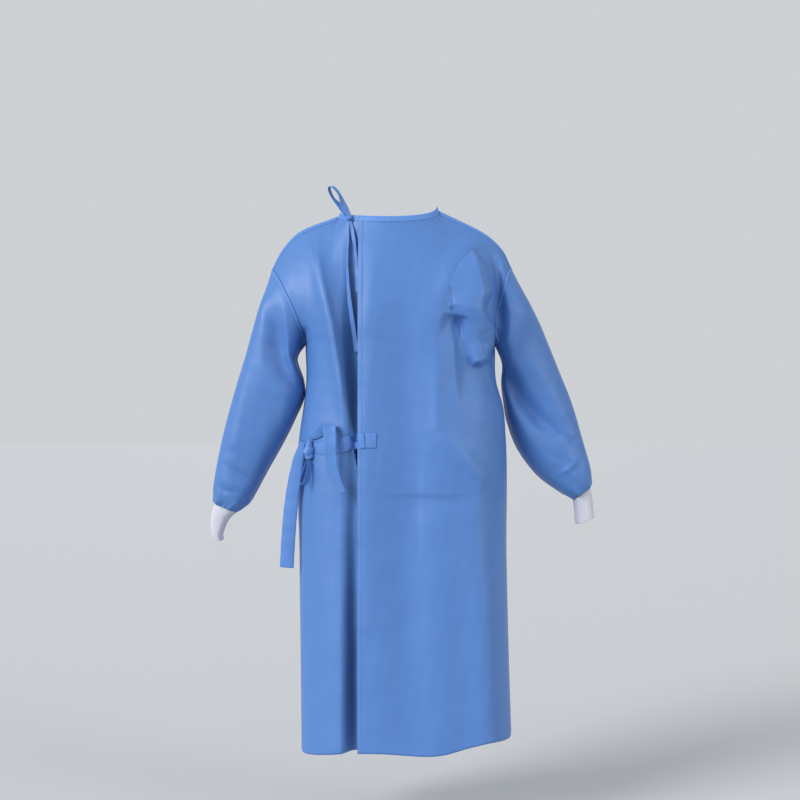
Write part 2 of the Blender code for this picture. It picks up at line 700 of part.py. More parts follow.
BOW_LENGTH = 0.056
bow_axis = Vector((-0.28, -0.10, -0.95)).normalized()
bow_side = Vector((0.75, -0.62, -0.15)).normalized()
bow_foot = WAIST_KNOT + Vector((0.002, -0.004, -WAIST_RADII[2] - 0.0005))
bow_stations = []
for i in range(13):
    angle = pi * (0.08 + 1.84 * i / 12)
    reach = BOW_LENGTH * (1 - cos(angle)) / 2
    swing = 0.0075 * sin(angle) * (0.4 + 0.6 * reach / BOW_LENGTH)
    face = bow_side * sin(angle) - bow_axis * cos(angle) * 0.35
    bow_stations.append(Station(bow_foot + bow_axis * reach + bow_side * swing, face, 0.018))
band("waist_tie_loop", bow_stations)
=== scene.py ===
# Looks for the surgical gown: thin cloth shells with their folds, knit cuffs, bound neck and ties.
import bpy
import numpy as np
from mathutils import Matrix, Vector


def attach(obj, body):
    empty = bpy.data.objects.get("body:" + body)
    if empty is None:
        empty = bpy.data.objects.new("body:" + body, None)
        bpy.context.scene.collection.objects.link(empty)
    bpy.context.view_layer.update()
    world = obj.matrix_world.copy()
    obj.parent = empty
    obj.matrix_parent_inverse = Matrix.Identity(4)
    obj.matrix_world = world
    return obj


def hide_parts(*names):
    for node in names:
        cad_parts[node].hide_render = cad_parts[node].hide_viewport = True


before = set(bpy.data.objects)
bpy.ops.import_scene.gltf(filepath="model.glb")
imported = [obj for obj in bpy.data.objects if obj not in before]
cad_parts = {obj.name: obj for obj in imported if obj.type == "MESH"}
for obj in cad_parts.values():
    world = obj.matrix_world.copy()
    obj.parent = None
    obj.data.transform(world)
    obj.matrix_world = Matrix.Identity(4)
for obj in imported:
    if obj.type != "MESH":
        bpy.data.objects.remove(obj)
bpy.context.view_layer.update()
bpy.ops.object.select_all(action="DESELECT")
print("frame loaded")


# Shader maths as Python expressions: a wrapped socket and one method for every other node
class Sock:
    def __init__(self, tree, socket):
        self.tree, self.socket = tree, socket

    def maths(self, operation, *others):
        node = self.tree.nodes.new("ShaderNodeMath")
        node.operation = operation
        for slot, value in zip(node.inputs, (self,) + others):
            if isinstance(value, Sock):
                self.tree.links.new(value.socket, slot)
            else:
                slot.default_value = value
        return Sock(self.tree, node.outputs[0])

    def __add__(self, other):
        return self.maths("ADD", other)

    def __sub__(self, other):
        return self.maths("SUBTRACT", other)

    def __mul__(self, other):
        return self.maths("MULTIPLY", other)

    def __pow__(self, other):
        return self.maths("POWER", other)

    def __rsub__(self, other):
        return (self * -1.0) + other

    __radd__, __rmul__ = __add__, __mul__


class Finish:
    def __init__(self, name):
        self.material = bpy.data.materials.new(name)
        self.material.use_nodes = True
        self.tree = self.material.node_tree
        self.shader = self.tree.nodes["Principled BSDF"]

    def node(self, kind, settings=None, inputs=None, out=0):
        made = self.tree.nodes.new(kind)
        for key, value in (settings or {}).items():
            if key == "stops":
                ramp = made.color_ramp
                ramp.elements[0].position, ramp.elements[0].color = value[0]
                ramp.elements[1].position, ramp.elements[1].color = value[-1]
                for place, colour in value[1:-1]:
                    ramp.elements.new(place).color = colour
            else:
                setattr(made, key, value)
        for key, value in (inputs or {}).items():
            if isinstance(value, Sock):
                self.tree.links.new(value.socket, made.inputs[key])
            else:
                made.inputs[key].default_value = value
        return Sock(self.tree, made.outputs[out])

    def blend(self, factor, one, two):
        return self.node("ShaderNodeMix", {"data_type": "RGBA"}, {0: factor, 6: one, 7: two}, out=2)

    def place(self, scale=(1, 1, 1), turn=(0, 0, 0)):
        spot = self.node("ShaderNodeTexCoord", out=3)
        return self.node("ShaderNodeMapping", None, {"Vector": spot, "Scale": scale, "Rotation": turn})

    def noise(self, scale, detail=3.0, stretch=(1, 1, 1), turn=(0, 0, 0)):
        return self.node("ShaderNodeTexNoise", None,
                         {"Vector": self.place(stretch, turn), "Scale": scale, "Detail": detail})

    def set(self, **values):
        for key, value in values.items():
            slot = self.shader.inputs[key.replace("_", " ")]
            if isinstance(value, Sock):
                self.tree.links.new(value.socket, slot)
            else:
                slot.default_value = value
        return self.material


# The nonwoven cloth: a satin blue with soft mottling, bonding dots and stray fibres
clothLook = {
    "deep": (0.062, 0.166, 0.440, 1.0),
    "light": (0.074, 0.190, 0.478, 1.0),
    "mottleScale": 26.0,
    "fibreScale": 900.0,
    "dotPitch": 0.0013,
    "dotDepth": 0.10,
    "roughness": 0.50,
    "sheen": 0.04,
}


def nonwoven(name, tint=1.0, dots=1.0):
    cloth = Finish(name)
    mottle = cloth.noise(clothLook["mottleScale"], 5.0)
    fibres = cloth.noise(clothLook["fibreScale"], 2.0, stretch=(1, 1, 0.25), turn=(0.2, 0.4, 0.6))
    colour = cloth.blend(mottle * 0.75 + fibres * 0.25,
                         tuple(c * tint for c in clothLook["deep"][:3]) + (1.0,),
                         tuple(min(c * tint, 1.0) for c in clothLook["light"][:3]) + (1.0,))
    bond = cloth.node("ShaderNodeTexVoronoi", {"feature": "F1"},
                      {"Vector": cloth.place(), "Scale": 1 / clothLook["dotPitch"], "Randomness": 0.25})
    dot = bond.maths("LESS_THAN", 0.28)
    height = fibres * 0.5 - dot * dots
    bump = cloth.node("ShaderNodeBump", None,
                      {"Height": height, "Strength": clothLook["dotDepth"], "Distance": 0.0002})
    return cloth.set(Base_Color=colour, Roughness=mottle * 0.10 + (clothLook["roughness"] - 0.05),
                     Normal=bump, Sheen_Weight=clothLook["sheen"], Sheen_Roughness=0.4,
                     Specular_IOR_Level=0.45)


# The cuffs' knit: fine ribs along the piece's own UV map, with rows of small loops, and painted shade that darkens
# the grooves between ribs and loops
knitLook = {
    "colour": (0.610, 0.605, 0.660, 1.0),
    # groove: a darker colour used as painted shade in the grooves between the ribs
    "groove": (0.470, 0.475, 0.545, 1.0),
    "ribs": 46.0,
    "courses": 60.0,
}


def ribKnit(name):
    knit = Finish(name)
    uv = knit.node("ShaderNodeUVMap", {"uv_map": "around"})
    parts = knit.tree.nodes.new("ShaderNodeSeparateXYZ")
    knit.tree.links.new(uv.socket, parts.inputs[0])
    around, along = Sock(knit.tree, parts.outputs[0]), Sock(knit.tree, parts.outputs[1])
    rib = (around * (knitLook["ribs"] * 2 * np.pi)).maths("SINE") * 0.5 + 0.5
    course = (along * (knitLook["courses"] * 2 * np.pi) + rib * 1.5).maths("SINE") * 0.5 + 0.5
    fuzz = knit.noise(700.0, 2.0)
    # painted shade: the colour darkens where the ribs and loops dip, with random tone from the fuzz
    colour = knit.blend(rib * 0.7 + course * 0.15 + fuzz * 0.15, knitLook["groove"], knitLook["colour"])
    bump = knit.node("ShaderNodeBump", None,
                     {"Height": rib + course * 0.35 + fuzz * 0.2, "Strength": 0.5, "Distance": 0.0006})
    return knit.set(Base_Color=colour, Roughness=fuzz * 0.1 + 0.8, Normal=bump, Sheen_Weight=0.2)


def threadFinish(name, colour):
    thread = Finish(name)
    twist = thread.noise(1500.0, 1.0)
    tone = thread.blend(twist, tuple(c * 0.85 for c in colour[:3]) + (1.0,), colour)
    return thread.set(Base_Color=tone, Roughness=twist * 0.1 + 0.55)


gownCloth = nonwoven("gownCloth")
bindingCloth = nonwoven("bindingCloth", tint=1.20)
tieCloth = nonwoven("tieCloth", tint=1.12)
cuffKnit = ribKnit("cuffKnit")
paleThread = threadFinish("paleThread", (0.42, 0.54, 0.76, 1.0))
blueThread = threadFinish("blueThread", (0.15, 0.28, 0.58, 1.0))
print("finishes made")


# The gown's form, in metres, the same driving sizes as the solids
gownForm = {
    "roundness": 2.3,
    "armpitZ": -0.300,
    "overlapEdgeX": -0.076,
    "underlapEdgeX": 0.035,
    "neckTurn": 0.45,
    "neckBackY": -0.078,
    "neckFrontY": 0.085,
    "neckBackZ": -0.020,
    "neckFrontZ": -0.062,
    "frontHemZ": -1.232,
    "wall": 0.0006,
    # rows up the trunk: height, middle, half the width, half the depth
    "trunkZ": (-1.260, -1.020, -0.800, -0.510, -0.450, -0.390, -0.300),
    "trunkMiddle": (0.0360, 0.0310, 0.0272, 0.0260, 0.0280, 0.0230, 0.0205),
    "trunkWidth": (0.2455, 0.2430, 0.2418, 0.2405, 0.2335, 0.2220, 0.2215),
    "trunkDepth": (0.160, 0.155, 0.150, 0.147, 0.144, 0.142, 0.140),
    "hemX": (-0.215, -0.150, -0.100, -0.040, 0.120, 0.180, 0.225, 0.282),
    "hemZ": (-1.252, -1.238, -1.230, -1.228, -1.231, -1.216, -1.207, -1.212),
    # along each shoulder, from the armhole's tip to the neck point
    "shoulderShare": (0.00, 0.30, 0.55, 1.00),
    "shoulderLeft": ((-0.280, 0.004, -0.124), (-0.255, 0.004, -0.078), (-0.222, 0.003, -0.042),
                     (-0.124, 0.000, -0.001)),
    "shoulderRight": ((0.279, 0.004, -0.117), (0.259, 0.000, -0.079), (0.226, -0.008, -0.048),
                      (0.110, -0.010, 0.011)),
    "armholeBack": 0.072,
    "armholeFront": 0.070,
    "armholeInset": 0.012,
}
form = gownForm


def ease(value, low, high):
    share = np.clip((value - low) / (high - low), 0.0, 1.0)
    return share * share * (3 - 2 * share)


def through(keys, values, at):
    # a smooth curve through a short table, in each column of values
    keys, values, at = np.asarray(keys, float), np.asarray(values, float), np.asarray(at, float)
    slopes = np.gradient(values, keys, axis=0)
    i = np.clip(np.searchsorted(keys, at) - 1, 0, len(keys) - 2)
    step = keys[i + 1] - keys[i]
    f = np.clip((at - keys[i]) / step, 0.0, 1.0)
    if values.ndim > 1:
        f, step = f[..., None], step[..., None]
    return (values[i] * (2 * f**3 - 3 * f**2 + 1) + slopes[i] * step * (f**3 - 2 * f**2 + f)
            + values[i + 1] * (3 * f**2 - 2 * f**3) + slopes[i + 1] * step * (f**3 - f**2))


def stack(x, y, z):
    return np.stack(np.broadcast_arrays(x, y, z), axis=-1).astype(float)


def trunk(turn, z, side):
    middle, width, depth = (through(form["trunkZ"], form[key], z)
                            for key in ("trunkMiddle", "trunkWidth", "trunkDepth"))
    angle = turn * np.pi / 2
    out = np.sign(turn) * np.abs(np.sin(angle)) ** (2 / form["roundness"])
    deep = np.abs(np.cos(angle)) ** (2 / form["roundness"])
    return stack(middle + width * out, side * depth * deep, z)


def shoulder(hand, share):
    return through(form["shoulderShare"], form["shoulderLeft" if hand < 0 else "shoulderRight"], share)


def neckline(turn, side):
    # turn is -1 at the left neck point and 1 at the right one
    turn = np.asarray(turn, float)
    left, right = shoulder(-1, 1.0), shoulder(1, 1.0)
    share = ((1 + np.sin(turn * np.pi / 2)) / 2)[..., None]
    ends = left * (1 - share) + right * share
    deep = np.cos(turn * np.pi / 2)
    reach = form["neckFrontY"] if side > 0 else form["neckBackY"]
    level = form["neckFrontZ"] if side > 0 else form["neckBackZ"]
    drop = np.clip(deep, 0, 1) ** 0.8 if side < 0 else deep
    return stack(ends[..., 0], ends[..., 1] * (1 - deep) + reach * deep,
                 ends[..., 2] + (level - ends[..., 2]) * drop)


def topEdge(turn, side):
    neck = form["neckTurn"]
    share = np.clip((1 - np.abs(turn)) / (1 - neck), 0, 1)
    sides = np.where((turn < 0)[..., None], shoulder(-1, share), shoulder(1, share))
    middle = neckline(np.clip(turn / neck, -1, 1), side)
    return np.where((np.abs(turn) <= neck)[..., None], middle, sides)


def smoothTop(turn, side):
    # the top edge without its corners at the neck, for the cloth further down
    swing = 0.26 * ease(1 - np.abs(turn), 0.0, 0.30)
    return sum(topEdge(np.clip(turn + swing * share, -1, 1), side) for share in np.linspace(-1, 1, 9)) / 9


def armhole(rise, side, hand):
    pit = trunk(np.asarray(float(hand)), np.asarray(form["armpitZ"]), side)
    tip = shoulder(hand, np.asarray(0.0))
    rise = np.asarray(rise, float)
    share = (0.5 * rise + 0.25 * (1 - np.cos(np.pi * rise)))[..., None]
    bow = np.sin(np.pi * rise)
    depth = form["armholeFront"] if side > 0 else form["armholeBack"]
    return pit * (1 - share) + tip * share + stack(-hand * form["armholeInset"] * bow, side * depth * bow, 0 * bow)


def yoke(turn, rise, side):
    low = trunk(turn, np.full_like(turn, form["armpitZ"]), side)
    near = (rise**5)[..., None]
    high = topEdge(turn, side) * near + smoothTop(turn, side) * (1 - near)
    soft = rise**2.2
    point = low + (high - low) * rise[..., None]
    point[..., 1] = low[..., 1] + (high[..., 1] - low[..., 1]) * soft
    for hand in (-1, 1):
        near = (1 + hand * turn) / 2
        start = trunk(np.asarray(float(hand)), np.asarray(form["armpitZ"]), side)
        end = topEdge(np.asarray(float(hand)), side)
        straight = start + (end - start) * rise[..., None]
        straight[..., 1] = start[1] + (end[1] - start[1]) * soft
        away = armhole(rise, side, hand) - straight
        point += away * stack(near**3, near**6, near**3)
    return point


def hemLevel(x, side):
    back = through(form["hemX"], form["hemZ"], x)
    if side < 0:
        return back
    ends = form["hemZ"][0] + (form["hemZ"][-1] - form["hemZ"][0]) * ease(x, -0.22, 0.28)
    middle = np.clip(1 - ((x - 0.03) / 0.25) ** 2, 0, None)
    return ends + (form["frontHemZ"] - ends) * middle


def body(turn, height, side):
    # height is 0 at the hem, 1 at the armpits and 2 at the top edge
    turn, height = np.broadcast_arrays(np.asarray(turn, float), np.asarray(height, float))
    x = trunk(turn, np.full_like(turn, form["frontHemZ"]), side)[..., 0]
    hem = hemLevel(x, side)
    low = trunk(turn, hem + (form["armpitZ"] - hem) * np.clip(height, 0, 1), side)
    high = yoke(turn, np.clip(height - 1, 0, 1), side)
    return np.where((height > 1)[..., None], high, low)


def turnAt(x, height, side):
    low, high = np.full(np.shape(height), -1.0), np.full(np.shape(height), 1.0)
    for _ in range(28):
        middle = (low + high) / 2
        left = body(middle, height, side)[..., 0] < x
        low, high = np.where(left, middle, low), np.where(left, high, middle)
    return (low + high) / 2


# Folds, in metres across (x) and up (z), seen from the back: each runs along a path of places.
# A soft fold is a rounded swell or trough, a crisp one a crease, and a fall is a sharp edge on whose left
# hand, going along the path, the cloth drops and then comes back.
def alongPath(path, x, z):
    best, share, signed = np.full(x.shape, 9.0), np.zeros(x.shape), np.zeros(x.shape)
    places = np.asarray(path, float)
    lengths = np.hypot(*(places[1:] - places[:-1]).T)
    ends = np.concatenate([[0], np.cumsum(lengths)]) / lengths.sum()
    for i, (a, b) in enumerate(zip(places, places[1:])):
        way = b - a
        t = np.clip(((x - a[0]) * way[0] + (z - a[1]) * way[1]) / (way @ way), 0, 1)
        dx, dz = x - a[0] - t * way[0], z - a[1] - t * way[1]
        away = np.hypot(dx, dz)
        near = away < best
        best = np.where(near, away, best)
        share = np.where(near, ends[i] + t * (ends[i + 1] - ends[i]), share)
        signed = np.where(near, np.sign(way[0] * dz - way[1] * dx) * away, signed)
    return share, signed


def puffShare(outline, widths, x, z):
    # 1 in the middle of a puffed patch and 0 on its outline; a wide flank is a soft one
    inside = np.zeros(x.shape, dtype=bool)
    nearest = np.full(x.shape, np.inf)
    for i, (ax, az) in enumerate(outline):
        after = (i + 1) % len(outline)
        bx, bz = outline[after]
        crossing = (az > z) != (bz > z)
        inside ^= crossing & (x < ax + (bx - ax) * (z - az) / (bz - az if bz != az else 1e-9))
        share = np.clip(((x - ax) * (bx - ax) + (z - az) * (bz - az)) / ((bx - ax) ** 2 + (bz - az) ** 2), 0, 1)
        distance = np.hypot(x - ax - share * (bx - ax), z - az - share * (bz - az))
        nearest = np.minimum(nearest, distance / (widths[i] + share * (widths[after] - widths[i])))
    nearest = np.where(inside, np.minimum(nearest, 1), 0)
    return nearest * (2 - nearest)


def foldHeight(folds, x, z):
    total = np.zeros(x.shape)
    for kind, path, width, heights, *reach in folds:
        if kind == "puff":
            total += heights[0] * puffShare(path, width, x, z)
            continue
        share, d = alongPath(path, x, z)
        height = np.interp(share, np.linspace(0, 1, len(heights)), heights)
        wide = np.interp(share, np.linspace(0, 1, len(np.atleast_1d(width))), np.atleast_1d(width))
        if kind == "soft":
            total += height * np.exp(-((d / wide) ** 2))
        elif kind == "crisp":
            total += height * np.exp(-(np.sqrt(d**2 + 0.0012**2) - 0.0012) / wide)
        else:
            beyond = (d + np.sqrt(d**2 + 0.0014**2)) / 2
            total += height * (1 - np.exp(-beyond / wide)) * np.exp(-((beyond / reach[0]) ** 2))
    return total


# kind, path, width, heights along the path and, for a fall, how far it reaches; a trough is below nought
leftFolds = [
    # the crease that runs from the shoulder to the belt, and the plane beyond it that sinks under the overlap
    ("fall", ((-0.1775, -0.0529), (-0.1616, -0.1301), (-0.1344, -0.2572),
              (-0.1117, -0.3934), (-0.089, -0.5114)),
     (0.03, 0.05, 0.06, 0.05), (-0.01, -0.04, -0.062, -0.062, -0.04), 0.14),
    ("soft", ((-0.1888, -0.0688), (-0.1684, -0.1369), (-0.1412, -0.2572),
              (-0.1185, -0.3934), (-0.0958, -0.5046)),
     (0.016, 0.014), (0.003, 0.01, 0.012, 0.011, 0.005)),
    ("soft", ((-0.2002, -0.2731), (-0.2093, -0.3003)),
     0.008, (-0.012, -0.018)),
    ("soft", ((-0.1661, -0.5909), (-0.1389, -0.886), (-0.1344, -1.2151)),
     (0.03, 0.034), (0.003, 0.004, 0.006)),
    ("soft", ((-0.207, -0.5727), (-0.1888, -0.659), (-0.1934, -0.7952)),
     0.012, (-0.004, -0.006, 0.0)),
    ("crisp", ((-0.1775, -0.659), (-0.1707, -0.7611), (-0.1571, -0.9087)),
     0.007, (0.0005, 0.0025, 0.0005)),
    # small dents below the shoulder seam
    ("fall", ((-0.2047, -0.0847), (-0.2115, -0.0688), (-0.2183, -0.0484)),
     0.004, (-0.002, -0.004, -0.004), 0.012),
    ("fall", ((-0.1934, -0.0506), (-0.1866, -0.0733), (-0.1798, -0.1051)),
     0.005, (-0.003, -0.004, -0.001), 0.014),
    ("crisp", ((-0.2615, -0.1482), (-0.2297, -0.1868), (-0.207, -0.2322)),
     0.006, (0.0, -0.002, -0.001)),
]
rightFolds = [
    # the drag from the armhole down to the flap
    ("fall", ((0.2107, -0.0597), (0.1834, -0.0915), (0.1562, -0.1255),
              (0.1358, -0.1709), (0.1244, -0.205), (0.1176, -0.2322)),
     0.012, (-0.002, -0.008, -0.009, -0.007, -0.004, 0.0), 0.04),
    ("soft", ((0.2016, -0.0597), (0.1744, -0.0915), (0.1448, -0.1324), (0.1244, -0.1868), (0.1153, -0.2277)),
     0.03, (0.004, 0.012, 0.014, 0.01, 0.004)),
    ("soft", ((0.2379, -0.0915), (0.247, -0.1482), (0.2515, -0.2164), (0.2538, -0.2799)),
     0.014, (-0.006, -0.03, -0.036, -0.016)),
    # the puffed lobe over the shoulder blade, and the sharp valley between it and the sleeve
    ("puff", ((0.188, -0.0847), (0.2039, -0.096), (0.2198, -0.1233), (0.2288, -0.1596), (0.2334, -0.1868), (0.222, -0.2118), (0.2198, -0.2277), (0.2334, -0.2504), (0.247, -0.2731), (0.2515, -0.289), (0.2425, -0.3094),
              (0.2311, -0.323), (0.2266, -0.3435), (0.2061, -0.3571), (0.1834, -0.3548), (0.1721, -0.3321), (0.163, -0.2958), (0.1585, -0.264), (0.1471, -0.2413), (0.129, -0.2186), (0.1335, -0.1687), (0.1562, -0.1187)),
     (0.03, 0.02, 0.022, 0.024, 0.022, 0.018, 0.016, 0.018, 0.018, 0.016, 0.012, 0.012, 0.014, 0.018, 0.03, 0.05, 0.064, 0.064, 0.06, 0.08, 0.08, 0.05), (0.034,)),
    ("crisp", ((0.2016, -0.2799), (0.2107, -0.3049), (0.2175, -0.3276)),
     0.006, (-0.002, -0.005, -0.003)),
    ("crisp", ((0.2107, -0.2822), (0.2288, -0.2731), (0.2379, -0.2799)),
     0.005, (-0.001, -0.004, -0.002)),
    # the flap's lower edge, and the trough beneath it
    ("fall", ((0.1789, -0.2436), (0.1653, -0.2413), (0.1494, -0.2391), (0.1335, -0.2368), (0.1176, -0.2322)),
     0.005, (0.0, -0.016, -0.02, -0.012, 0.0), 0.05),
    ("fall", ((0.138, -0.2459), (0.1426, -0.3072), (0.1494, -0.4093), (0.163, -0.4888)),
     0.016, (-0.006, -0.02, -0.02, -0.008, 0.0), 0.07),
    ("soft", ((0.1063, -0.3072), (0.104, -0.4093), (0.1063, -0.4888)),
     0.016, (0.002, 0.005, 0.004)),
    ("soft", ((0.1221, -0.5228), (0.1675, -0.5637), (0.2061, -0.6091)),
     (0.024, 0.024), (0.006, 0.012, 0.007)),
    ("soft", ((0.2402, -0.3185), (0.2334, -0.3457)),
     0.007, (-0.018, -0.016)),
    ("fall", ((0.2515, -0.4479), (0.2334, -0.398), (0.2152, -0.3548)),
     0.006, (0.0, -0.006, -0.002), 0.02),
    ("crisp", ((0.2175, -0.6227), (0.2356, -0.6408), (0.2538, -0.6454)),
     0.008, (-0.001, -0.004, -0.002)),
    # the middle of the overlap sinks all the way down, and stands out again towards the side
    ("soft", ((0.0382, -0.0575), (0.0336, -0.2731), (0.0359, -0.6136), (0.0382, -0.9314), (0.0472, -1.2038)),
     (0.046, 0.05, 0.056), (-0.003, -0.012, -0.016, -0.016, -0.01)),
    ("soft", ((0.2016, -0.6136), (0.2243, -0.9314), (0.2334, -1.2151)),
     (0.044, 0.05), (0.008, 0.026, 0.028)),
    ("soft", ((-0.0436, -0.0915), (-0.0572, -0.4774), (-0.0572, -0.9314)),
     0.022, (0.002, 0.004, 0.003)),
    # packing creases
    ("fall", ((0.2016, -0.6386), (0.1335, -0.6476), (0.0654, -0.6454), (-0.0299, -0.6431)),
     0.007, (0.0, -0.0045, -0.0045, 0.0), 0.04),
    ("fall", ((0.0699, -0.7952), (0.0699, -0.7044), (0.0699, -0.5796)),
     0.007, (0.0, -0.0038, 0.0), 0.026),
    ("crisp", ((0.0699, -0.8179), (0.0699, -1.2038)),
     0.004, (-0.0004, -0.0004)),
    ("crisp", ((-0.0299, -0.5183), (-0.0209, -0.5568), (-0.0254, -0.5909)),
     0.004, (0.0004, 0.0012, 0.0002)),
]
frontFolds = [
    # drags from the armpits, and between them and the neck
    ("soft", ((-0.205, -0.270), (-0.150, -0.360), (-0.110, -0.560), (-0.100, -0.760)), (0.020, 0.026, 0.030),
     (-0.016, -0.022, -0.016, -0.003)),
    ("soft", ((-0.190, -0.240), (-0.120, -0.270), (-0.060, -0.330)), (0.014, 0.018), (0.010, 0.011, 0.002)),
    ("soft", ((-0.200, -0.330), (-0.165, -0.450), (-0.150, -0.620)), (0.012, 0.018), (0.010, 0.009, 0.002)),
    ("soft", ((0.225, -0.270), (0.170, -0.350), (0.140, -0.540), (0.135, -0.740)), (0.020, 0.028, 0.030),
     (-0.016, -0.023, -0.016, -0.003)),
    ("soft", ((0.215, -0.225), (0.150, -0.262), (0.090, -0.320)), (0.014, 0.018), (0.010, 0.012, 0.002)),
    ("soft", ((0.215, -0.320), (0.185, -0.440), (0.180, -0.600)), (0.012, 0.018), (0.010, 0.009, 0.002)),
    ("soft", ((-0.110, -0.060), (-0.060, -0.120), (0.000, -0.140)), 0.018, (0.006, 0.005, 0.0)),
    ("soft", ((0.100, -0.050), (0.060, -0.120), (0.020, -0.150)), 0.018, (0.006, 0.005, 0.0)),
    ("soft", ((-0.080, -0.110), (-0.030, -0.165), (0.050, -0.160), (0.090, -0.100)), 0.014, (-0.002, -0.006, -0.002)),
    # shallow flutes down to the hem
    ("soft", ((0.030, -0.260), (0.020, -0.700), (0.010, -1.230)), (0.050, 0.055), (0.007, 0.015, 0.013)),
    ("soft", ((-0.070, -0.500), (-0.075, -0.900), (-0.085, -1.230)), (0.030, 0.036), (-0.004, -0.013, -0.014)),
    ("soft", ((-0.140, -0.760), (-0.160, -1.230)), (0.036, 0.042), (0.005, 0.014)),
    ("soft", ((0.100, -0.560), (0.110, -0.900), (0.118, -1.230)), (0.030, 0.036), (-0.003, -0.012, -0.014)),
    ("soft", ((0.185, -0.780), (0.205, -1.230)), (0.036, 0.042), (0.004, 0.013)),
    # packing creases
    ("crisp", ((0.006, -0.180), (0.004, -0.700), (0.004, -1.225)), 0.006, (-0.001, -0.0034, -0.002)),
    ("crisp", ((-0.190, -0.360), (0.000, -0.364), (0.200, -0.358)), 0.006, (-0.001, -0.003, -0.001)),
    ("crisp", ((-0.190, -0.644), (0.000, -0.648), (0.200, -0.642)), 0.006, (-0.001, -0.0036, -0.001)),
    ("crisp", ((-0.190, -0.930), (0.000, -0.934), (0.210, -0.928)), 0.006, (-0.001, -0.003, -0.001)),
]

sleeveFolds = {
    -1: [
        # the curved valley from the shoulder into the armpit
        ("fall", ((-0.1971, -0.4043), (-0.2249, -0.3673), (-0.2387, -0.3281),
                  (-0.241, -0.2818), (-0.248, -0.2125), (-0.2641, -0.1594)),
         0.01, (-0.004, -0.022, -0.028, -0.026, -0.016, 0.0), 0.036),
        ("soft", ((-0.2849, -0.1779), (-0.278, -0.2472), (-0.2711, -0.3165),
                  (-0.2503, -0.3673), (-0.2179, -0.3997)),
         0.018, (-0.003, -0.006, -0.008, -0.007, -0.003)),
        ("soft", ((-0.2988, -0.3511), (-0.2457, -0.4204), (-0.2341, -0.4782)),
         0.026, (0.003, 0.007, 0.004)),
        ("soft", ((-0.3265, -0.201), (-0.3496, -0.3627), (-0.3681, -0.5244)),
         0.022, (0.003, 0.004, 0.003)),
        ("crisp", ((-0.3958, -0.5790), (-0.3704, -0.5925), (-0.3496, -0.6060), (-0.3126, -0.6300)),
         0.0065, (-0.0010, -0.0046, -0.0060, -0.0020)),
        ("crisp", ((-0.412, -0.626), (-0.3912, -0.6445), (-0.3658, -0.6491)),
         0.007, (-0.001, -0.005, -0.002)),
        ("crisp", ((-0.3704, -0.6561), (-0.3542, -0.6699), (-0.3404, -0.6561)),
         0.004, (-0.001, -0.004, -0.001)),
        ("soft", ((-0.4020, -0.6100), (-0.3700, -0.6300), (-0.3380, -0.6445)),
         0.012, (0.0, 0.0036, 0.002)),
        ("crisp", ((-0.3912, -0.5475), (-0.3681, -0.5544)),
         0.006, (-0.001, -0.002)),
    ],
    1: [
        # the far wall of the valley beside the lobe
        ("fall", ((0.2517, -0.2846), (0.2704, -0.2799), (0.2797, -0.2144),
                  (0.2797, -0.191), (0.2563, -0.1091), (0.2329, -0.0716)),
         0.005, (0.0, -0.014, -0.016, -0.015, -0.01, 0.0), 0.022),
        # the long diagonal trough across the elbow
        ("soft", ((0.2517, -0.315), (0.268, -0.3665), (0.3055, -0.4273), (0.3476, -0.4788), (0.3897, -0.5116)),
         (0.02, 0.022, 0.018, 0.012), (-0.014, -0.03, -0.032, -0.024, -0.006)),
        ("soft", ((0.2821, -0.4671), (0.3359, -0.5303), (0.3757, -0.5771)),
         0.02, (0.004, 0.008, 0.004)),
        ("soft", ((0.3008, -0.3033), (0.3593, -0.3969), (0.3991, -0.4671)),
         0.02, (0.003, 0.006, 0.003)),
        ("fall", ((0.4272, -0.5186), (0.4014, -0.5092), (0.3733, -0.5069)),
         0.005, (-0.003, -0.005, -0.003), 0.016),
        ("crisp", ((0.4084, -0.563), (0.4342, -0.5794), (0.4108, -0.5981), (0.3944, -0.6075)),
         0.005, (0.001, 0.004, 0.005, 0.002)),
        ("crisp", ((0.4178, -0.5981), (0.4318, -0.6145), (0.4435, -0.6332)),
         0.005, (0.003, 0.005, 0.002)),
        ("crisp", ((0.3663, -0.5537), (0.3944, -0.5724)),
         0.006, (-0.002, -0.003)),
        ("soft", ((0.4225, -0.5396), (0.4506, -0.5677)),
         0.012, (-0.004, -0.004)),
    ],
}
sleeveFrontFolds = {
    -1: [
        ("soft", ((-0.235, -0.350), (-0.290, -0.400), (-0.360, -0.440)), 0.017, (-0.008, -0.020, -0.006)),
        ("soft", ((-0.240, -0.400), (-0.300, -0.450), (-0.370, -0.490)), 0.017, (0.004, 0.008, 0.003)),
        ("soft", ((-0.270, -0.180), (-0.262, -0.260), (-0.250, -0.330)), 0.015, (-0.005, -0.011, -0.005)),
        ("crisp", ((-0.300, -0.540), (-0.345, -0.560), (-0.398, -0.560)), 0.007, (-0.001, -0.005, -0.002)),
    ],
    1: [
        ("soft", ((0.262, -0.360), (0.310, -0.412), (0.392, -0.470)), 0.017, (-0.008, -0.021, -0.007)),
        ("soft", ((0.290, -0.345), (0.345, -0.400), (0.400, -0.430)), 0.017, (0.004, 0.009, 0.003)),
        ("soft", ((0.268, -0.170), (0.270, -0.240), (0.262, -0.320)), 0.015, (-0.006, -0.012, -0.005)),
        ("crisp", ((0.350, -0.530), (0.395, -0.545), (0.440, -0.570)), 0.007, (-0.001, -0.005, -0.002)),
    ],
}


def smallWaves(x, z, y):
    # the soft unevenness that stiff thin cloth keeps everywhere
    return (0.0010 * np.sin(19 * x + 7 * z + 1.3) * np.sin(11 * z - 5 * x + 30 * y)
            + 0.0006 * np.sin(47 * x - 21 * z + 2.1) * np.sin(33 * z + 13 * x + 0.7)
            + 0.0003 * np.sin(120 * x + 61 * z) * np.sin(95 * z - 71 * x + 20 * y))


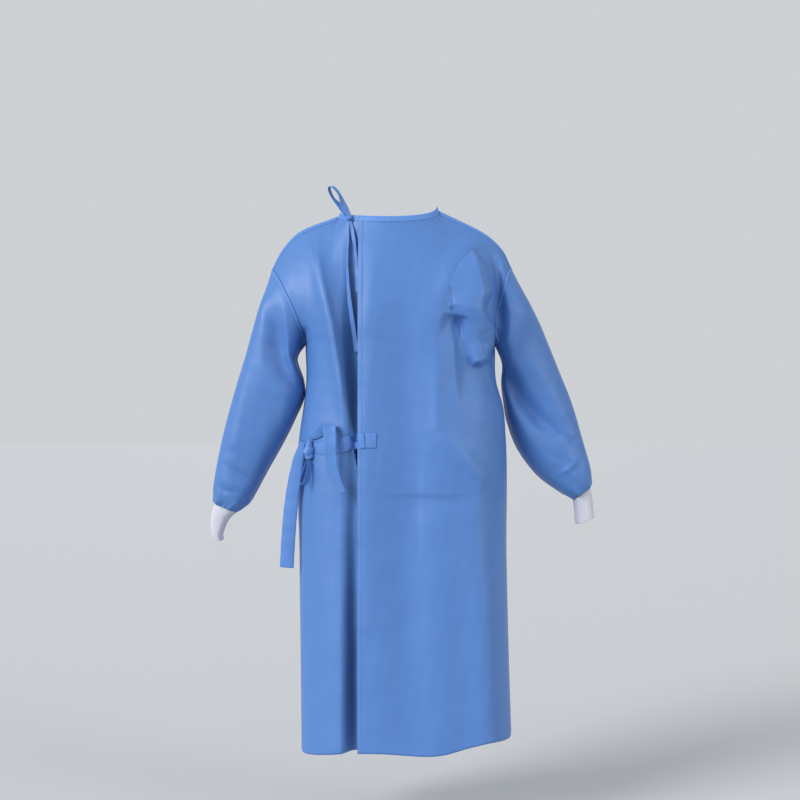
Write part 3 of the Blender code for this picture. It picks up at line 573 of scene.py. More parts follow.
def pushOut(points, folds, side, depth, share=1.0):
    # depth is how far a place lies behind or before the middle; folds die out towards it
    x, y, z = points[..., 0], points[..., 1], points[..., 2]
    fade = ease(depth, 0.004, 0.050) * share
    height = (foldHeight(folds, x, z) + smallWaves(x, z, y)) * fade
    moved = points.copy()
    moved[..., 1] += side * height
    return moved


def normalsOf(grid, closed=False):
    if closed:
        around = np.roll(grid, -1, axis=1) - np.roll(grid, 1, axis=1)
    else:
        around = np.gradient(grid, axis=1)
    along = np.gradient(grid, axis=0)
    normal = np.cross(around, along)
    return normal / np.maximum(np.linalg.norm(normal, axis=-1, keepdims=True), 1e-12)


def clothShell(name, outer, inner, finish, closed=False):
    # a thin wall between two grids of points, closed along its rims
    rows, columns = outer.shape[:2]
    points = np.concatenate([outer.reshape(-1, 3), inner.reshape(-1, 3)])
    index = np.arange(rows * columns).reshape(rows, columns)
    wrap = columns if closed else columns - 1
    a = index[:-1, :wrap]
    b = np.roll(index, -1, axis=1)[:-1, :wrap]
    c = np.roll(index, -1, axis=1)[1:, :wrap]
    d = index[1:, :wrap]
    skin = np.stack([a, b, c, d], axis=-1).reshape(-1, 4)
    size = rows * columns
    faces = [skin, skin[:, ::-1] + size]
    for r, flip in ((0, True), (rows - 1, False)):
        e, f = index[r, :wrap], np.roll(index[r], -1)[:wrap]
        rim = np.stack([e, f, f + size, e + size], axis=-1)
        faces.append(rim[:, ::-1] if flip is False else rim)
        faces[-1] = faces[-1][:, ::-1]
    if not closed:
        for k, flip in ((0, True), (columns - 1, False)):
            e, f = index[:-1, k], index[1:, k]
            rim = np.stack([e, f, f + size, e + size], axis=-1)
            faces.append(rim if flip is False else rim[:, ::-1])
            faces[-1] = faces[-1][:, ::-1]
    faces = np.concatenate(faces)
    mesh = bpy.data.meshes.new(name)
    mesh.from_pydata(points.tolist(), [], faces.tolist())
    uv = mesh.uv_layers.new(name="around")
    u = np.broadcast_to(np.linspace(0, 1, columns, endpoint=not closed), (rows, columns)).ravel()
    v = np.broadcast_to(np.linspace(0, 1, rows)[:, None], (rows, columns)).ravel()
    loops = faces.reshape(-1) % size
    uv.data.foreach_set("uv", np.stack([u[loops], v[loops]], axis=-1).ravel())
    piece = bpy.data.objects.new(name, mesh)
    bpy.context.scene.collection.objects.link(piece)
    mesh.materials.append(finish)
    mesh.validate()
    turnOutward(piece)
    mesh.shade_smooth()
    return piece


def turnOutward(piece):
    for other in bpy.context.selected_objects:
        other.select_set(False)
    bpy.context.view_layer.objects.active = piece
    piece.select_set(True)
    bpy.ops.object.mode_set(mode="EDIT")
    bpy.ops.mesh.select_all(action="SELECT")
    bpy.ops.mesh.normals_make_consistent(inside=False)
    bpy.ops.object.mode_set(mode="OBJECT")
    piece.select_set(False)


def gridArea(grid, closed=False):
    if closed:
        grid = np.concatenate([grid, grid[:, :1]], axis=1)
    one = np.cross(grid[1:, :-1] - grid[:-1, :-1], grid[:-1, 1:] - grid[:-1, :-1])
    two = np.cross(grid[1:, :-1] - grid[1:, 1:], grid[:-1, 1:] - grid[1:, 1:])
    return float(np.linalg.norm(one, axis=-1).sum() + np.linalg.norm(two, axis=-1).sum()) / 2


def spread(stops):
    # places along an edge, from (start, end, count) stretches
    return np.concatenate([np.linspace(a, b, n, endpoint=False) for a, b, n in stops] + [[stops[-1][1]]])


def along(start, end, count):
    return np.linspace(start, end, count, endpoint=False)


# Body panels: rows of heights from the hem to the top edge, columns of turns from side to side
panelRows = {
    "back": np.concatenate([along(0, 0.02, 4), along(0.02, 0.62, 60), along(0.62, 1, 108), along(1, 2, 108), [2.0]]),
    "front": np.concatenate([along(0, 0.02, 4), along(0.02, 0.62, 56), along(0.62, 1, 50), along(1, 2, 60), [2.0]]),
}
overlapLook = {
    "sinkTop": 0.0036,
    "sink": 0.0060,
    "sinkMore": 0.010,
    "sinkLow": 0.022,
    "facing": 0.010,
    "edgeRise": 0.0008,
}


def topFade(height):
    return 1 - ease(height, 1.86, 2.0)


def frontSurface(turn, height):
    point = body(turn, height, 1)
    return pushOut(point, frontFolds, 1, np.abs(point[..., 1]), topFade(height))


def rightSurface(turn, height):
    point = body(turn, height, -1)
    pushed = pushOut(point, rightFolds, -1, np.abs(point[..., 1]), topFade(height))
    inside = point[..., 0] - form["overlapEdgeX"]
    pushed[..., 1] -= overlapLook["edgeRise"] * (1 - ease(inside, overlapLook["facing"] - 0.0015,
                                                          overlapLook["facing"]))
    return pushed


def leftSurface(turn, height):
    # the underlap follows the overlap from beneath, and sinks away from its edge lower down
    point = body(turn, height, -1)
    x, y, z = point[..., 0], point[..., 1], point[..., 2]
    under = ease(x, form["overlapEdgeX"] - 0.040, form["overlapEdgeX"] - 0.004)
    own, shared = foldHeight(leftFolds, x, z), foldHeight(rightFolds, x, z)
    fade = ease(np.abs(y), 0.004, 0.050) * topFade(height)
    high = own * (1 - under) + (np.minimum(own, 0) + np.minimum(shared, 0)) * under + smallWaves(x, z, y)
    deep = (overlapLook["sink"] + overlapLook["sinkLow"] * ease(-z, 0.56, 1.15)
            + overlapLook["sinkMore"] * ease(-z, 0.10, 0.30))
    deep = overlapLook["sinkTop"] + (deep - overlapLook["sinkTop"]) * (1 - ease(height, 1.75, 2.0))
    return stack(x, y - high * fade + deep * under, z)


def grow(grid, side):
    # the wall's inner skin, under the outer one
    normal = normalsOf(grid)
    normal *= np.sign((normal[..., 1] * side).sum())
    return grid - normal * form["wall"], normal


def panelGrid(surface, heights, turnRow):
    rows = np.stack([turnRow(h) for h in heights])
    tall = np.broadcast_to(heights[:, None], rows.shape)
    return surface(rows, tall)


neck = form["neckTurn"]
edgeShares = np.concatenate([along(0, 0.05, 10), along(0.05, 1, 56)])
backHeights = panelRows["back"]
edgeTurns = turnAt(form["overlapEdgeX"], backHeights, -1)
hiddenTurns = turnAt(form["underlapEdgeX"], backHeights, -1)
edgeOf = dict(zip(backHeights, edgeTurns))
hiddenOf = dict(zip(backHeights, hiddenTurns))


def frontRow(height):
    return np.concatenate([along(-1, -neck, 42), along(-neck, neck, 56), along(neck, 1, 42), [1.0]])


def rightRow(height):
    edge = edgeOf[height]
    return np.concatenate([edge + (neck - edge) * edgeShares, along(neck, 1, 80), [1.0]])


def leftRow(height):
    edge, hidden = edgeOf[height], hiddenOf[height]
    return np.concatenate([along(-1, -neck, 60), along(-neck, edge, 30), along(edge, hidden, 16), [hidden]])


bodyCloth = {}
for name, node, surface, side, heights, turnRow in (
        ("frontPanel", "front_panel", frontSurface, 1, panelRows["front"], frontRow),
        ("backPanelRight", "back_panel_right", rightSurface, -1, backHeights, rightRow),
        ("backPanelLeft", "back_panel_left", leftSurface, -1, backHeights, leftRow)):
    grid = panelGrid(surface, heights, turnRow)
    inner, normal = grow(grid, side)
    piece = clothShell(name, grid, inner, gownCloth)
    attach(piece, "root")
    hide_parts(node)
    bodyCloth[name] = {"piece": piece, "grid": grid, "normal": normal, "heights": heights, "area": gridArea(grid)}
    print(name, "made, square metres of cloth:", round(bodyCloth[name]["area"], 4))

# flat cuts: width, length and cloth area of each
flatCuts = {
    "frontPanel": ((0.66, 1.33), 0.76),
    "backPanelRight": ((0.46, 1.33), 0.50),
    "backPanelLeft": ((0.40, 1.33), 0.42),
    "sleeveLeft": ((0.46, 0.62), 0.21),
    "sleeveRight": ((0.46, 0.62), 0.21),
}


# Sleeves: rings from the armhole to the cuff, each from the outer outline over the back to the inner one
sleeveLook = {
    "ringsAlong": 150,
    "around": 152,
    "gathers": 7,
    "gatherHeight": 0.0032,
    "smallGathers": 26,
    "smallHeight": 0.0011,
    # outer x and z, inner x and z, middle y, half the depth
    "left": ((-0.305, -0.198, -0.222, -0.335, 0.008, 0.078), (-0.327, -0.270, -0.208, -0.384, 0.014, 0.080),
             (-0.344, -0.330, -0.206, -0.424, 0.018, 0.078), (-0.366, -0.400, -0.226, -0.472, 0.022, 0.074),
             (-0.392, -0.492, -0.256, -0.532, 0.027, 0.070), (-0.409, -0.565, -0.292, -0.596, 0.031, 0.064),
             (-0.421, -0.632, -0.324, -0.655, 0.034, 0.056), (-0.4215, -0.664, -0.338, -0.678, 0.035, 0.048),
             (-0.4195, -0.676, -0.366, -0.6975, 0.036, 0.038)),
    "right": ((0.317, -0.188, 0.262, -0.345, 0.022, 0.076), (0.350, -0.248, 0.262, -0.392, 0.044, 0.076),
              (0.373, -0.300, 0.268, -0.438, 0.056, 0.076), (0.402, -0.370, 0.277, -0.486, 0.062, 0.073),
              (0.430, -0.440, 0.301, -0.548, 0.064, 0.069), (0.456, -0.528, 0.347, -0.610, 0.065, 0.063),
              (0.474, -0.592, 0.397, -0.648, 0.066, 0.054), (0.4775, -0.627, 0.425, -0.665, 0.066, 0.046),
              (0.4745, -0.640, 0.434, -0.668, 0.066, 0.036)),
}
cuffLook = {
    "ringsAlong": 46,
    "around": 230,
    "ribs": 46,
    "ribHeight": 0.0005,
    "wall": 0.0011,
    "left": ((-0.4195, -0.676, -0.366, -0.6975, 0.036, 0.038), (-0.4275, -0.708, -0.386, -0.716, 0.037, 0.036),
             (-0.4265, -0.745, -0.400, -0.748, 0.038, 0.034), (-0.4200, -0.762, -0.400, -0.764, 0.038, 0.033)),
    "right": ((0.4745, -0.640, 0.434, -0.668, 0.066, 0.036), (0.4800, -0.668, 0.437, -0.690, 0.067, 0.034),
              (0.4850, -0.712, 0.440, -0.728, 0.068, 0.033)),
}


def sections(rows, angles):
    # the rings of a sleeve's rows, at every angle
    rows = np.asarray(rows, float)
    power = 2 / 2.8
    reach = (np.sign(np.cos(angles)) * np.abs(np.cos(angles)) ** power)[None, :]
    deep = (-np.sign(np.sin(angles)) * np.abs(np.sin(angles)) ** power)[None, :]
    share = (1 - reach) / 2
    outerX, outerZ, innerX, innerZ, middle, half = (rows[:, k][:, None] for k in range(6))
    return stack(outerX + (innerX - outerX) * share, middle + half * deep, outerZ + (innerZ - outerZ) * share)


def armholeRing(angles, hand):
    over = angles <= np.pi
    rise = np.where(over, 1 - angles / np.pi, angles / np.pi - 1)
    return np.where(over[:, None], armhole(rise, -1, hand), armhole(rise, 1, hand))


def outwardNormals(grid):
    normal = normalsOf(grid, closed=True)
    away = grid - grid.mean(axis=1, keepdims=True)
    return normal * np.sign((normal * away).sum(axis=-1).mean())


sleeves = {}
for name, hand in (("left", -1), ("right", 1)):
    angles = np.linspace(0, 2 * np.pi, sleeveLook["around"], endpoint=False)
    start = armholeRing(angles, hand)[None]
    rings = np.concatenate([start, sections(sleeveLook[name], angles)])
    keys = np.linspace(0, 1, len(rings))
    shares = np.linspace(0, 1, sleeveLook["ringsAlong"])
    grid = through(keys, rings.reshape(len(rings), -1), shares).reshape(len(shares), len(angles), 3)
    middleY = through(keys, np.concatenate([[0.0], [row[4] for row in sleeveLook[name]]]), shares)[:, None]
    depth = np.abs(grid[..., 1] - middleY)
    back = grid[..., 1] < middleY
    near = (1 - ease(shares, 0.05, 0.38))[:, None]
    own = ease(shares, 0.0, 0.13)[:, None] * (1 - ease(shares, 0.90, 1.0))[:, None]
    backMoved = (pushOut(grid, leftFolds if hand < 0 else rightFolds, -1, depth, near)
                 + pushOut(grid, sleeveFolds[hand], -1, depth, own) - grid)
    frontMoved = (pushOut(grid, frontFolds, 1, depth, near)
                  + pushOut(grid, sleeveFrontFolds[hand], 1, depth, own) - grid)
    grid = np.where(back[..., None], backMoved, frontMoved)
    # the sleeve's end is gathered into the cuff
    centre = grid.mean(axis=1, keepdims=True)
    out = grid - centre
    out /= np.linalg.norm(out, axis=-1, keepdims=True)
    gathered = (ease(shares, 0.78, 0.95) * (1 - 0.7 * ease(shares, 0.96, 1.0)))[:, None]
    fine = (ease(shares, 0.88, 0.985) * (1 - 0.6 * ease(shares, 0.99, 1.0)))[:, None]
    height = (sleeveLook["gatherHeight"] * gathered * np.cos(sleeveLook["gathers"] * angles)
              + sleeveLook["smallHeight"] * fine * np.cos(sleeveLook["smallGathers"] * angles
                                                          + 1.2 * np.sin(3 * angles)))
    grid = grid + out * height[..., None]
    normal = outwardNormals(grid)
    piece = clothShell("sleeve" + name.title(), grid, grid - normal * form["wall"], gownCloth,
                       closed=True)
    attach(piece, "root")
    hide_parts("sleeve_" + name)
    sleeves[name] = {"piece": piece, "grid": grid, "normal": normal, "angles": angles}
    print("sleeve", name, "made, square metres:", round(gridArea(grid, closed=True), 4))

    angles = np.linspace(0, 2 * np.pi, cuffLook["around"], endpoint=False)
    rings = sections(cuffLook[name], angles)
    keys, shares = np.linspace(0, 1, len(rings)), np.linspace(0, 1, cuffLook["ringsAlong"])
    grid = through(keys, rings.reshape(len(rings), -1), shares).reshape(len(shares), len(angles), 3)
    normal = outwardNormals(grid)
    rim = np.minimum(ease(shares, 0, 0.03), 1 - ease(shares, 0.97, 1.0))[:, None]
    ribs = cuffLook["ribHeight"] * (0.5 + 0.5 * np.cos(cuffLook["ribs"] * angles))[None, :] * (0.4 + 0.6 * rim)
    grid = grid + normal * (ribs - cuffLook["ribHeight"])[..., None]
    piece = clothShell("cuff" + name.title(), grid, grid - normal * cuffLook["wall"], cuffKnit,
                       closed=True)
    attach(piece, "root")
    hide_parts("cuff_" + name)
    print("cuff", name, "made, square metres:", round(gridArea(grid, closed=True), 4))


# Neck binding: a folded strip over the panels' top edges
bindingLook = {"width": 0.012, "thick": 0.0022, "straddle": 0.0020, "columns": 90, "rows": 10}


def neckWays(turn, side):
    # at the neckline, the way up its binding and the way out of the cloth
    base = neckline(turn, side)
    inwards = stack(-0.007, 0.0, base[..., 2]) - base
    inwards /= np.linalg.norm(inwards, axis=-1, keepdims=True)
    up = inwards * 0.38 + np.array((0, 0, 0.92))
    out = np.array((0, 0, 0.38)) - inwards * 0.92
    return (base, up / np.linalg.norm(up, axis=-1, keepdims=True), out / np.linalg.norm(out, axis=-1, keepdims=True))


neckEdge = turnAt(form["overlapEdgeX"], np.array(2.0), -1) / neck
neckHidden = turnAt(form["underlapEdgeX"], np.array(2.0), -1) / neck
bindings = {}
for name, node, side, ends, sink in (("neckBindingFront", "neck_binding_front", 1, (-0.9984, 0.9984), 0),
                                     ("neckBindingRight", "neck_binding_right", -1, (neckEdge, 0.9984), 0),
                                     ("neckBindingLeft", "neck_binding_left", -1, (-0.9984, neckHidden), 1)):
    turns = np.linspace(ends[0], ends[1], bindingLook["columns"])
    base, up, out = neckWays(turns, side)
    base = base.copy()
    base[..., 1] += sink * overlapLook["sinkTop"] * ease(base[..., 0], form["overlapEdgeX"] - 0.040,
                                                         form["overlapEdgeX"] - 0.004)
    reach = np.linspace(-bindingLook["straddle"], bindingLook["width"], bindingLook["rows"])[:, None, None]
    share = (reach + bindingLook["straddle"]) / (bindingLook["width"] + bindingLook["straddle"])
    half = bindingLook["thick"] / 2 * np.sqrt(np.clip(1 - share**6, 0.02, 1)) * (0.75 + 0.25 * ease(share, 0, 0.15))
    ripple = 0.0002 * np.sin(turns * 70)[None, :, None]
    centre = base[None] + up[None] * reach + out[None] * ripple
    piece = clothShell(name, centre + out[None] * half, centre - out[None] * half, bindingCloth)
    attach(piece, "root")
    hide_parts(node)
    length = float(np.linalg.norm(np.diff(base, axis=0), axis=-1).sum())
    bindings[name] = {"base": base, "up": up, "out": out, "length": length}
print("neck bound")


# Ribbons: a flat tie through stations, each with a place, the way its face looks and its width
def ribbon(name, places, faces, widths, thick=0.0012, curl=0.0, rows=70, columns=9, ripple=0.0, finish=None):
    places, faces = np.asarray(places, float), np.asarray(faces, float)
    lengths = np.linalg.norm(np.diff(places, axis=0), axis=-1)
    keys = np.concatenate([[0], np.cumsum(lengths)])
    shares = np.linspace(0, keys[-1], rows)
    path, face = through(keys, places, shares), through(keys, faces, shares)
    width = through(keys, np.broadcast_to(widths, len(places)).astype(float), shares)
    tangent = np.gradient(path, axis=0)
    tangent /= np.linalg.norm(tangent, axis=-1, keepdims=True)
    across = np.cross(tangent, face)
    across /= np.linalg.norm(across, axis=-1, keepdims=True)
    face = np.cross(across, tangent)
    s = np.linspace(-1, 1, columns)[None, :, None]
    lean = curl * s**2 + ripple * s * np.sin(shares[:, None] * 160 + s[..., 0] * 0.8)[..., None]
    middle = path[:, None] + across[:, None] * width[:, None, None] * s / 2 + face[:, None] * lean
    half = face[:, None] * thick / 2 * np.sqrt(np.clip(1 - s**10, 0.15, 1))
    piece = clothShell(name, middle + half, middle - half, finish or tieCloth)
    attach(piece, "root")
    return piece, float(keys[-1])


fineTurns = np.linspace(-1, 1, 401)
tableTurns, tableHeights = np.broadcast_arrays(fineTurns[None], backHeights[:, None])
backTable = rightSurface(tableTurns, tableHeights)
leftTable = leftSurface(tableTurns, tableHeights)
backTable = np.where((backTable[..., 0] > form["overlapEdgeX"] - 0.0005)[..., None], backTable, leftTable)


def onBack(x, z, lift=0.0):
    # a place this far off the outermost layer of the back
    x, z = np.broadcast_arrays(np.asarray(x, float), np.asarray(z, float))
    depth = np.zeros(x.shape)
    for spot in np.ndindex(x.shape):
        levels = np.array([np.interp(x[spot], row[:, 0], row[:, 2]) for row in backTable])
        depths = np.array([np.interp(x[spot], row[:, 0], row[:, 1]) for row in backTable])
        depth[spot] = np.interp(z[spot], levels, depths)
    return stack(x, depth - lift, z)


def faceOfBack(x, z):
    step = 0.006
    slope = (onBack(np.asarray(x) + step, z)[..., 1] - onBack(np.asarray(x) - step, z)[..., 1]) / (2 * step)
    return stack(np.clip(slope, -1.2, 1.2), -1.0, 0.0)


def selectOnly(*things):
    for other in bpy.context.selected_objects:
        other.select_set(False)
    for thing in things:
        thing.select_set(True)
    bpy.context.view_layer.objects.active = things[0]


def joined(name, pieces):
    selectOnly(*pieces)
    bpy.ops.object.join()
    pieces[0].name = pieces[0].data.name = name
    pieces[0].select_set(False)
    return pieces[0]


def wrap(name, centre, axis, radii, width, thick, lean=0.0, bulge=0.0012, columns=56, rows=9):
    # one turn of the tie round a knot, its edges drawn in
    axis = Vector(axis).normalized()
    first = axis.orthogonal().normalized()
    first = Vector((1, 0, 0)) - axis * axis.x
    first = np.array(first.normalized())
    second = np.cross(np.array(axis), first)
    angles = np.linspace(0, 2 * np.pi, columns, endpoint=False)
    s = np.linspace(-1, 1, rows)[:, None, None]
    ring = (first[None] * (radii[0] * np.cos(angles))[:, None] + second[None] * (radii[1] * np.sin(angles))[:, None])
    outward = ring / np.linalg.norm(ring, axis=-1, keepdims=True)
    shift = np.array(axis)[None] * (lean * np.sin(angles))[:, None]
    pleat = 0.00035 * np.cos(5 * np.pi * s[..., 0] + 2 * np.sin(angles)[None])[..., None]
    swell = bulge * (1 - s**2) + pleat
    middle = np.array(centre) + ring[None] + shift[None] + np.array(axis) * s * width / 2 + outward[None] * swell
    half = outward[None] * thick / 2
    return clothShell(name, middle + half, middle - half, tieCloth, closed=True)


def knotCore(name, centre, radii):
    selectOnly(bodyCloth["frontPanel"]["piece"])
    bpy.context.selected_objects[0].select_set(False)
    bpy.ops.mesh.primitive_uv_sphere_add(segments=28, ring_count=18, radius=1, location=(0, 0, 0))
    ball = bpy.context.object
    ball.name = name
    for vert in ball.data.vertices:
        groove = 1 - 0.07 * np.cos(9 * vert.co.z + 2 * vert.co.x)
        vert.co = Vector(float(c * r * groove + m) for c, r, m in zip(vert.co, radii, centre))
    ball.data.materials.append(tieCloth)
    ball.data.shade_smooth()
    return ball


# Neck tie: a single loop standing off the knot, and two tails down the back
neckTie = {
    "knotX": -0.094,
    "radii": (0.0072, 0.0055, 0.0085),
    "loopLength": 0.080,
    "loopHalf": 0.0120,
    "pinched": 0.0016,
    "loopAxis": (-0.53, 0.04, 0.85),
    "loopSide": (0.73, -0.57, 0.37),
    "width": 0.012,
    "footWidth": 0.019,
    # x, z, how far off the back, the face's twist and the width, down each tail
    "tails": {
        "neckTieTailOne": ((-0.1000, -0.0700, 0.008, -0.9, 0.010), (-0.1010, -0.1100, 0.008, -1.0, 0.010),
                           (-0.0990, -0.1600, 0.008, -0.8, 0.010), (-0.0950, -0.2050, 0.008, -0.6, 0.011),
                           (-0.0890, -0.2500, 0.007, -0.4, 0.011), (-0.0820, -0.3000, 0.006, -0.3, 0.011),
                           (-0.0785, -0.3230, 0.006, -0.2, 0.011)),
        "neckTieTailTwo": ((-0.0865, -0.0600, 0.0060, -0.6, 0.010), (-0.0815, -0.1000, 0.0050, -0.7, 0.010),
                           (-0.0780, -0.1400, 0.0036, -0.5, 0.010), (-0.0760, -0.1850, 0.0026, -0.3, 0.010)),
    },
}
knotTurn = turnAt(np.array(neckTie["knotX"]), np.array(2.0), -1) / neck
knotBase, knotUp, knotOut = neckWays(knotTurn, -1)
neckKnot = knotBase + knotUp * 0.003 + knotOut * (neckTie["radii"][1] + 0.0004)
radii = neckTie["radii"]
knotPieces = [
    knotCore("neckKnotCore", neckKnot, [r * 0.86 for r in radii]),
    wrap("neckKnotWrapOne", neckKnot, (0.35, 0.0, 1.0), (radii[0] * 0.88, radii[1] * 0.90), 0.0080, 0.0009, 0.0010),
    wrap("neckKnotWrapTwo", neckKnot + np.array((0.0006, 0, -0.0006)), (1.0, 0.1, -0.5),
         (radii[1] * 0.95, radii[2] * 0.90), 0.0060, 0.0009, 0.0008),
]
neckTieKnot = joined("neckTieKnot", knotPieces)
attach(neckTieKnot, "root")
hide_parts("neck_tie_knot")

axis = np.array(Vector(neckTie["loopAxis"]).normalized())
sideways = np.array(Vector(neckTie["loopSide"]).normalized())
angles = np.pi * (0.06 + 1.88 * np.arange(15) / 14)
rise = neckTie["loopLength"] * (1 - np.cos(angles)) / 2
# the two strands lie on each other above the knot, and only then part
open_ = ease(rise / neckTie["loopLength"], 0.18, 0.62)
swing = (neckTie["loopHalf"] * np.sin(angles) * open_ * (0.45 + 0.55 * rise / neckTie["loopLength"])
         + neckTie["pinched"] * np.sign(np.pi - angles) * (1 - open_))
foot = neckKnot + np.array((-0.0016, -0.0012, 0.0036))
places = foot + axis * rise[:, None] + sideways * swing[:, None]
strand = np.sign(np.pi - angles)[:, None] * (1 - open_)[:, None]
faces = (sideways * np.sin(angles)[:, None] - axis * np.cos(angles)[:, None] * 0.35
         + np.array((0.25, -1.0, 0.1)) * strand * 1.6)
widths = neckTie["width"] + (neckTie["footWidth"] - neckTie["width"]) * (1 - open_) * ease(rise, 0.0, 0.022)
loop, length = ribbon("neckTieLoop", places, faces, widths, curl=0.0006, rows=120)
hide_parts("neck_tie_loop")

for hand, (name, rows) in zip((-1, 1), neckTie["tails"].items()):
    x, z, lift, twist, width = (np.array(column) for column in zip(*rows))
    foot = neckKnot + np.array((0.0031 * hand, -0.0005, -0.0074))
    places = np.concatenate([[foot], onBack(x, z, lift)])
    faces = np.concatenate([[(0.2 * hand, -1, 0)], stack(np.sin(twist), -np.cos(twist), 0)])
    tail, length = ribbon(name, places, faces, np.concatenate([[0.005], width]), curl=0.0008, rows=80, ripple=0.0003)
    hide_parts("neck_tie_tail_1" if hand < 0 else "neck_tie_tail_2")
print("neck tie made")

# Waist tie: its sewn end on the overlap, the strap to the left, the knot and what hangs from it
waistTie = {
    "width": 0.034,
    "thick": 0.0012,
    "patchZ": -0.524,
    "patch": (-0.034, -0.047, -0.0592),
    "strap": ((-0.0596, -0.5240, 0.034), (-0.0700, -0.5250, 0.034), (-0.0800, -0.5270, 0.034),
              (-0.0920, -0.5295, 0.034), (-0.1080, -0.5330, 0.034), (-0.1250, -0.5370, 0.034),
              (-0.1450, -0.5405, 0.034), (-0.1620, -0.5425, 0.029), (-0.1762, -0.5435, 0.024)),
    "sideTie": ((-0.2130, -0.5320), (-0.2118, -0.5350), (-0.2100, -0.5370), (-0.2075, -0.5390)),
    "knot": (-0.188, -0.0943, -0.5460),
    "knotLift": 0.0090,
    "radii": (0.0105, 0.0085, 0.0250),
    # place, face and width down each free end, as set out from the solid knot's place
    "short": (((-0.1850, -0.0953, -0.5180), (0.2, 1.0, 0.2), 0.016),
              ((-0.1620, -0.1120, -0.5040), (0.1, 1.0, 0.2), 0.026),
              ((-0.1450, -0.1275, -0.4915), (0.0, 0.8, 0.6), 0.028),
              ((-0.1420, -0.1330, -0.4895), (0.0, 0.0, 1.0), 0.028),
              ((-0.1400, -0.1390, -0.4925), (0.0, -0.8, 0.6), 0.028),
              ((-0.1380, -0.1480, -0.5200), (0.0, -1.0, 0.0), 0.028),
              ((-0.1370, -0.1500, -0.5600), (0.1, -1.0, 0.0), 0.028),
              ((-0.1300, -0.1520, -0.6000), (0.2, -1.0, 0.0), 0.027),
              ((-0.1120, -0.1540, -0.6420), (0.5, -1.0, 0.0), 0.022)),
    "long": (((-0.2031, -0.0948, -0.5290), (-0.6, -0.8, 0.0), 0.014),
             ((-0.2110, -0.0860, -0.5560), (-0.5, -0.9, 0.0), 0.024),
             ((-0.2210, -0.0740, -0.6030), (-0.4, -0.9, 0.0), 0.031),
             ((-0.2300, -0.0640, -0.6600), (-0.3, -0.9, 0.0), 0.033),
             ((-0.2370, -0.0580, -0.7300), (-0.2, -1.0, 0.0), 0.033),
             ((-0.2410, -0.0540, -0.7900), (-0.2, -1.0, 0.0), 0.033),
             ((-0.2425, -0.0530, -0.8200), (-0.2, -1.0, 0.0), 0.033)),
    "bowLength": 0.056,
    "bowAxis": (-0.28, -0.10, -0.95),
    "bowSide": (0.75, -0.62, -0.15),
}
w = waistTie
knotSeat = onBack(w["knot"][0], w["knot"][2])[1]
knotShift = np.array((0, min(0.0, knotSeat - w["knotLift"] - w["knot"][1]), 0))
waistKnot = np.array(w["knot"]) + knotShift
lift = 0.0003 + w["thick"] / 2

x, z = np.array(w["patch"]), w["patchZ"]
patch, length = ribbon("waistTiePatch", onBack(x, z, lift + 0.0006), faceOfBack(x, z), w["width"], rows=24)
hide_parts("waist_tie_patch")

x, z, width = (np.array(column) for column in zip(*w["strap"]))
places = onBack(x, z, lift + 0.0022)
places[-1] = waistKnot + np.array((0.0105, 0.0, 0.0025))
strap, length = ribbon("waistTieStrap", places, faceOfBack(x, z), width, rows=110, columns=15, ripple=0.0005,
                       curl=-0.0008)
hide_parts("waist_tie_strap")

x, z = (np.array(column) for column in zip(*w["sideTie"]))
places = np.concatenate([onBack(x, z, lift + 0.0026), [waistKnot + np.array((-0.0112, 0.0015, 0.002))]])
faces = np.concatenate([faceOfBack(x, z), [(-0.75, -0.65, 0)]])
sideTie, length = ribbon("sideTie", places, faces, (0.022, 0.022, 0.022, 0.021, 0.018), rows=30)
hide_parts("side_tie")

radii = w["radii"]
knotPieces = [
    knotCore("waistKnotCore", waistKnot, [r * s for r, s in zip(radii, (0.90, 0.90, 0.94))]),
    wrap("waistKnotWrapOne", waistKnot + np.array((0.0004, 0, 0.0)), (0.62, 0.1, 0.9),
         (radii[0] * 1.02, radii[1] * 1.08), 0.021, 0.0011, 0.0034, bulge=0.0010),
    wrap("waistKnotWrapTwo", waistKnot + np.array((0.0, 0, -0.0125)), (-0.30, 0.1, 1.0),
         (radii[0] * 0.84, radii[1] * 0.88), 0.013, 0.0011, 0.0024, bulge=0.0010),
]
waistTieKnot = joined("waistTieKnot", knotPieces)
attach(waistTieKnot, "root")
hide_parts("waist_tie_knot")

for name, node, key, curl in (("waistTieTailShort", "waist_tie_tail_short", "short", 0.0015),
                              ("waistTieTailLong", "waist_tie_tail_long", "long", -0.0015)):
    places, faces, widths = (np.array(column, float) for column in zip(*w[key]))
    places = places + knotShift
    clear = onBack(np.clip(places[:, 0], -0.2125, None), places[:, 2])[:, 1] - 0.0022
    places[1:, 1] = np.minimum(places[1:, 1], clear[1:])
    tail, length = ribbon(name, places, faces, widths, curl=curl, rows=110, columns=13, ripple=0.0006)
    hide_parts(node)

axis = np.array(Vector(w["bowAxis"]).normalized())
sideways = np.array(Vector(w["bowSide"]).normalized())
angles = np.pi * (0.08 + 1.84 * np.arange(13) / 12)
reach = w["bowLength"] * (1 - np.cos(angles)) / 2
swing = 0.0075 * np.sin(angles) * (0.4 + 0.6 * reach / w["bowLength"])
foot = waistKnot + np.array((0.002, -0.004, -radii[2] - 0.0005))
places = foot + axis * reach[:, None] + sideways * swing[:, None]
faces = sideways * np.sin(angles)[:, None] - axis * np.cos(angles)[:, None] * 0.35
bow, length = ribbon("waistTieLoop", places, faces, 0.018, curl=0.0008, rows=80)
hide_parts("waist_tie_loop")
print("waist tie made")


# Floor, lights and camera
# Sewing: welts where pieces meet, and the stitches that hold them
sewing = {
    "weltLift": 0.0010,
    "weltGap": 0.0001,
    "stitchLength": 0.0027,
    "stitchRadius": 0.00032,
    "pitch": 0.0044,
}


welts = {name: [] for name in flatCuts}


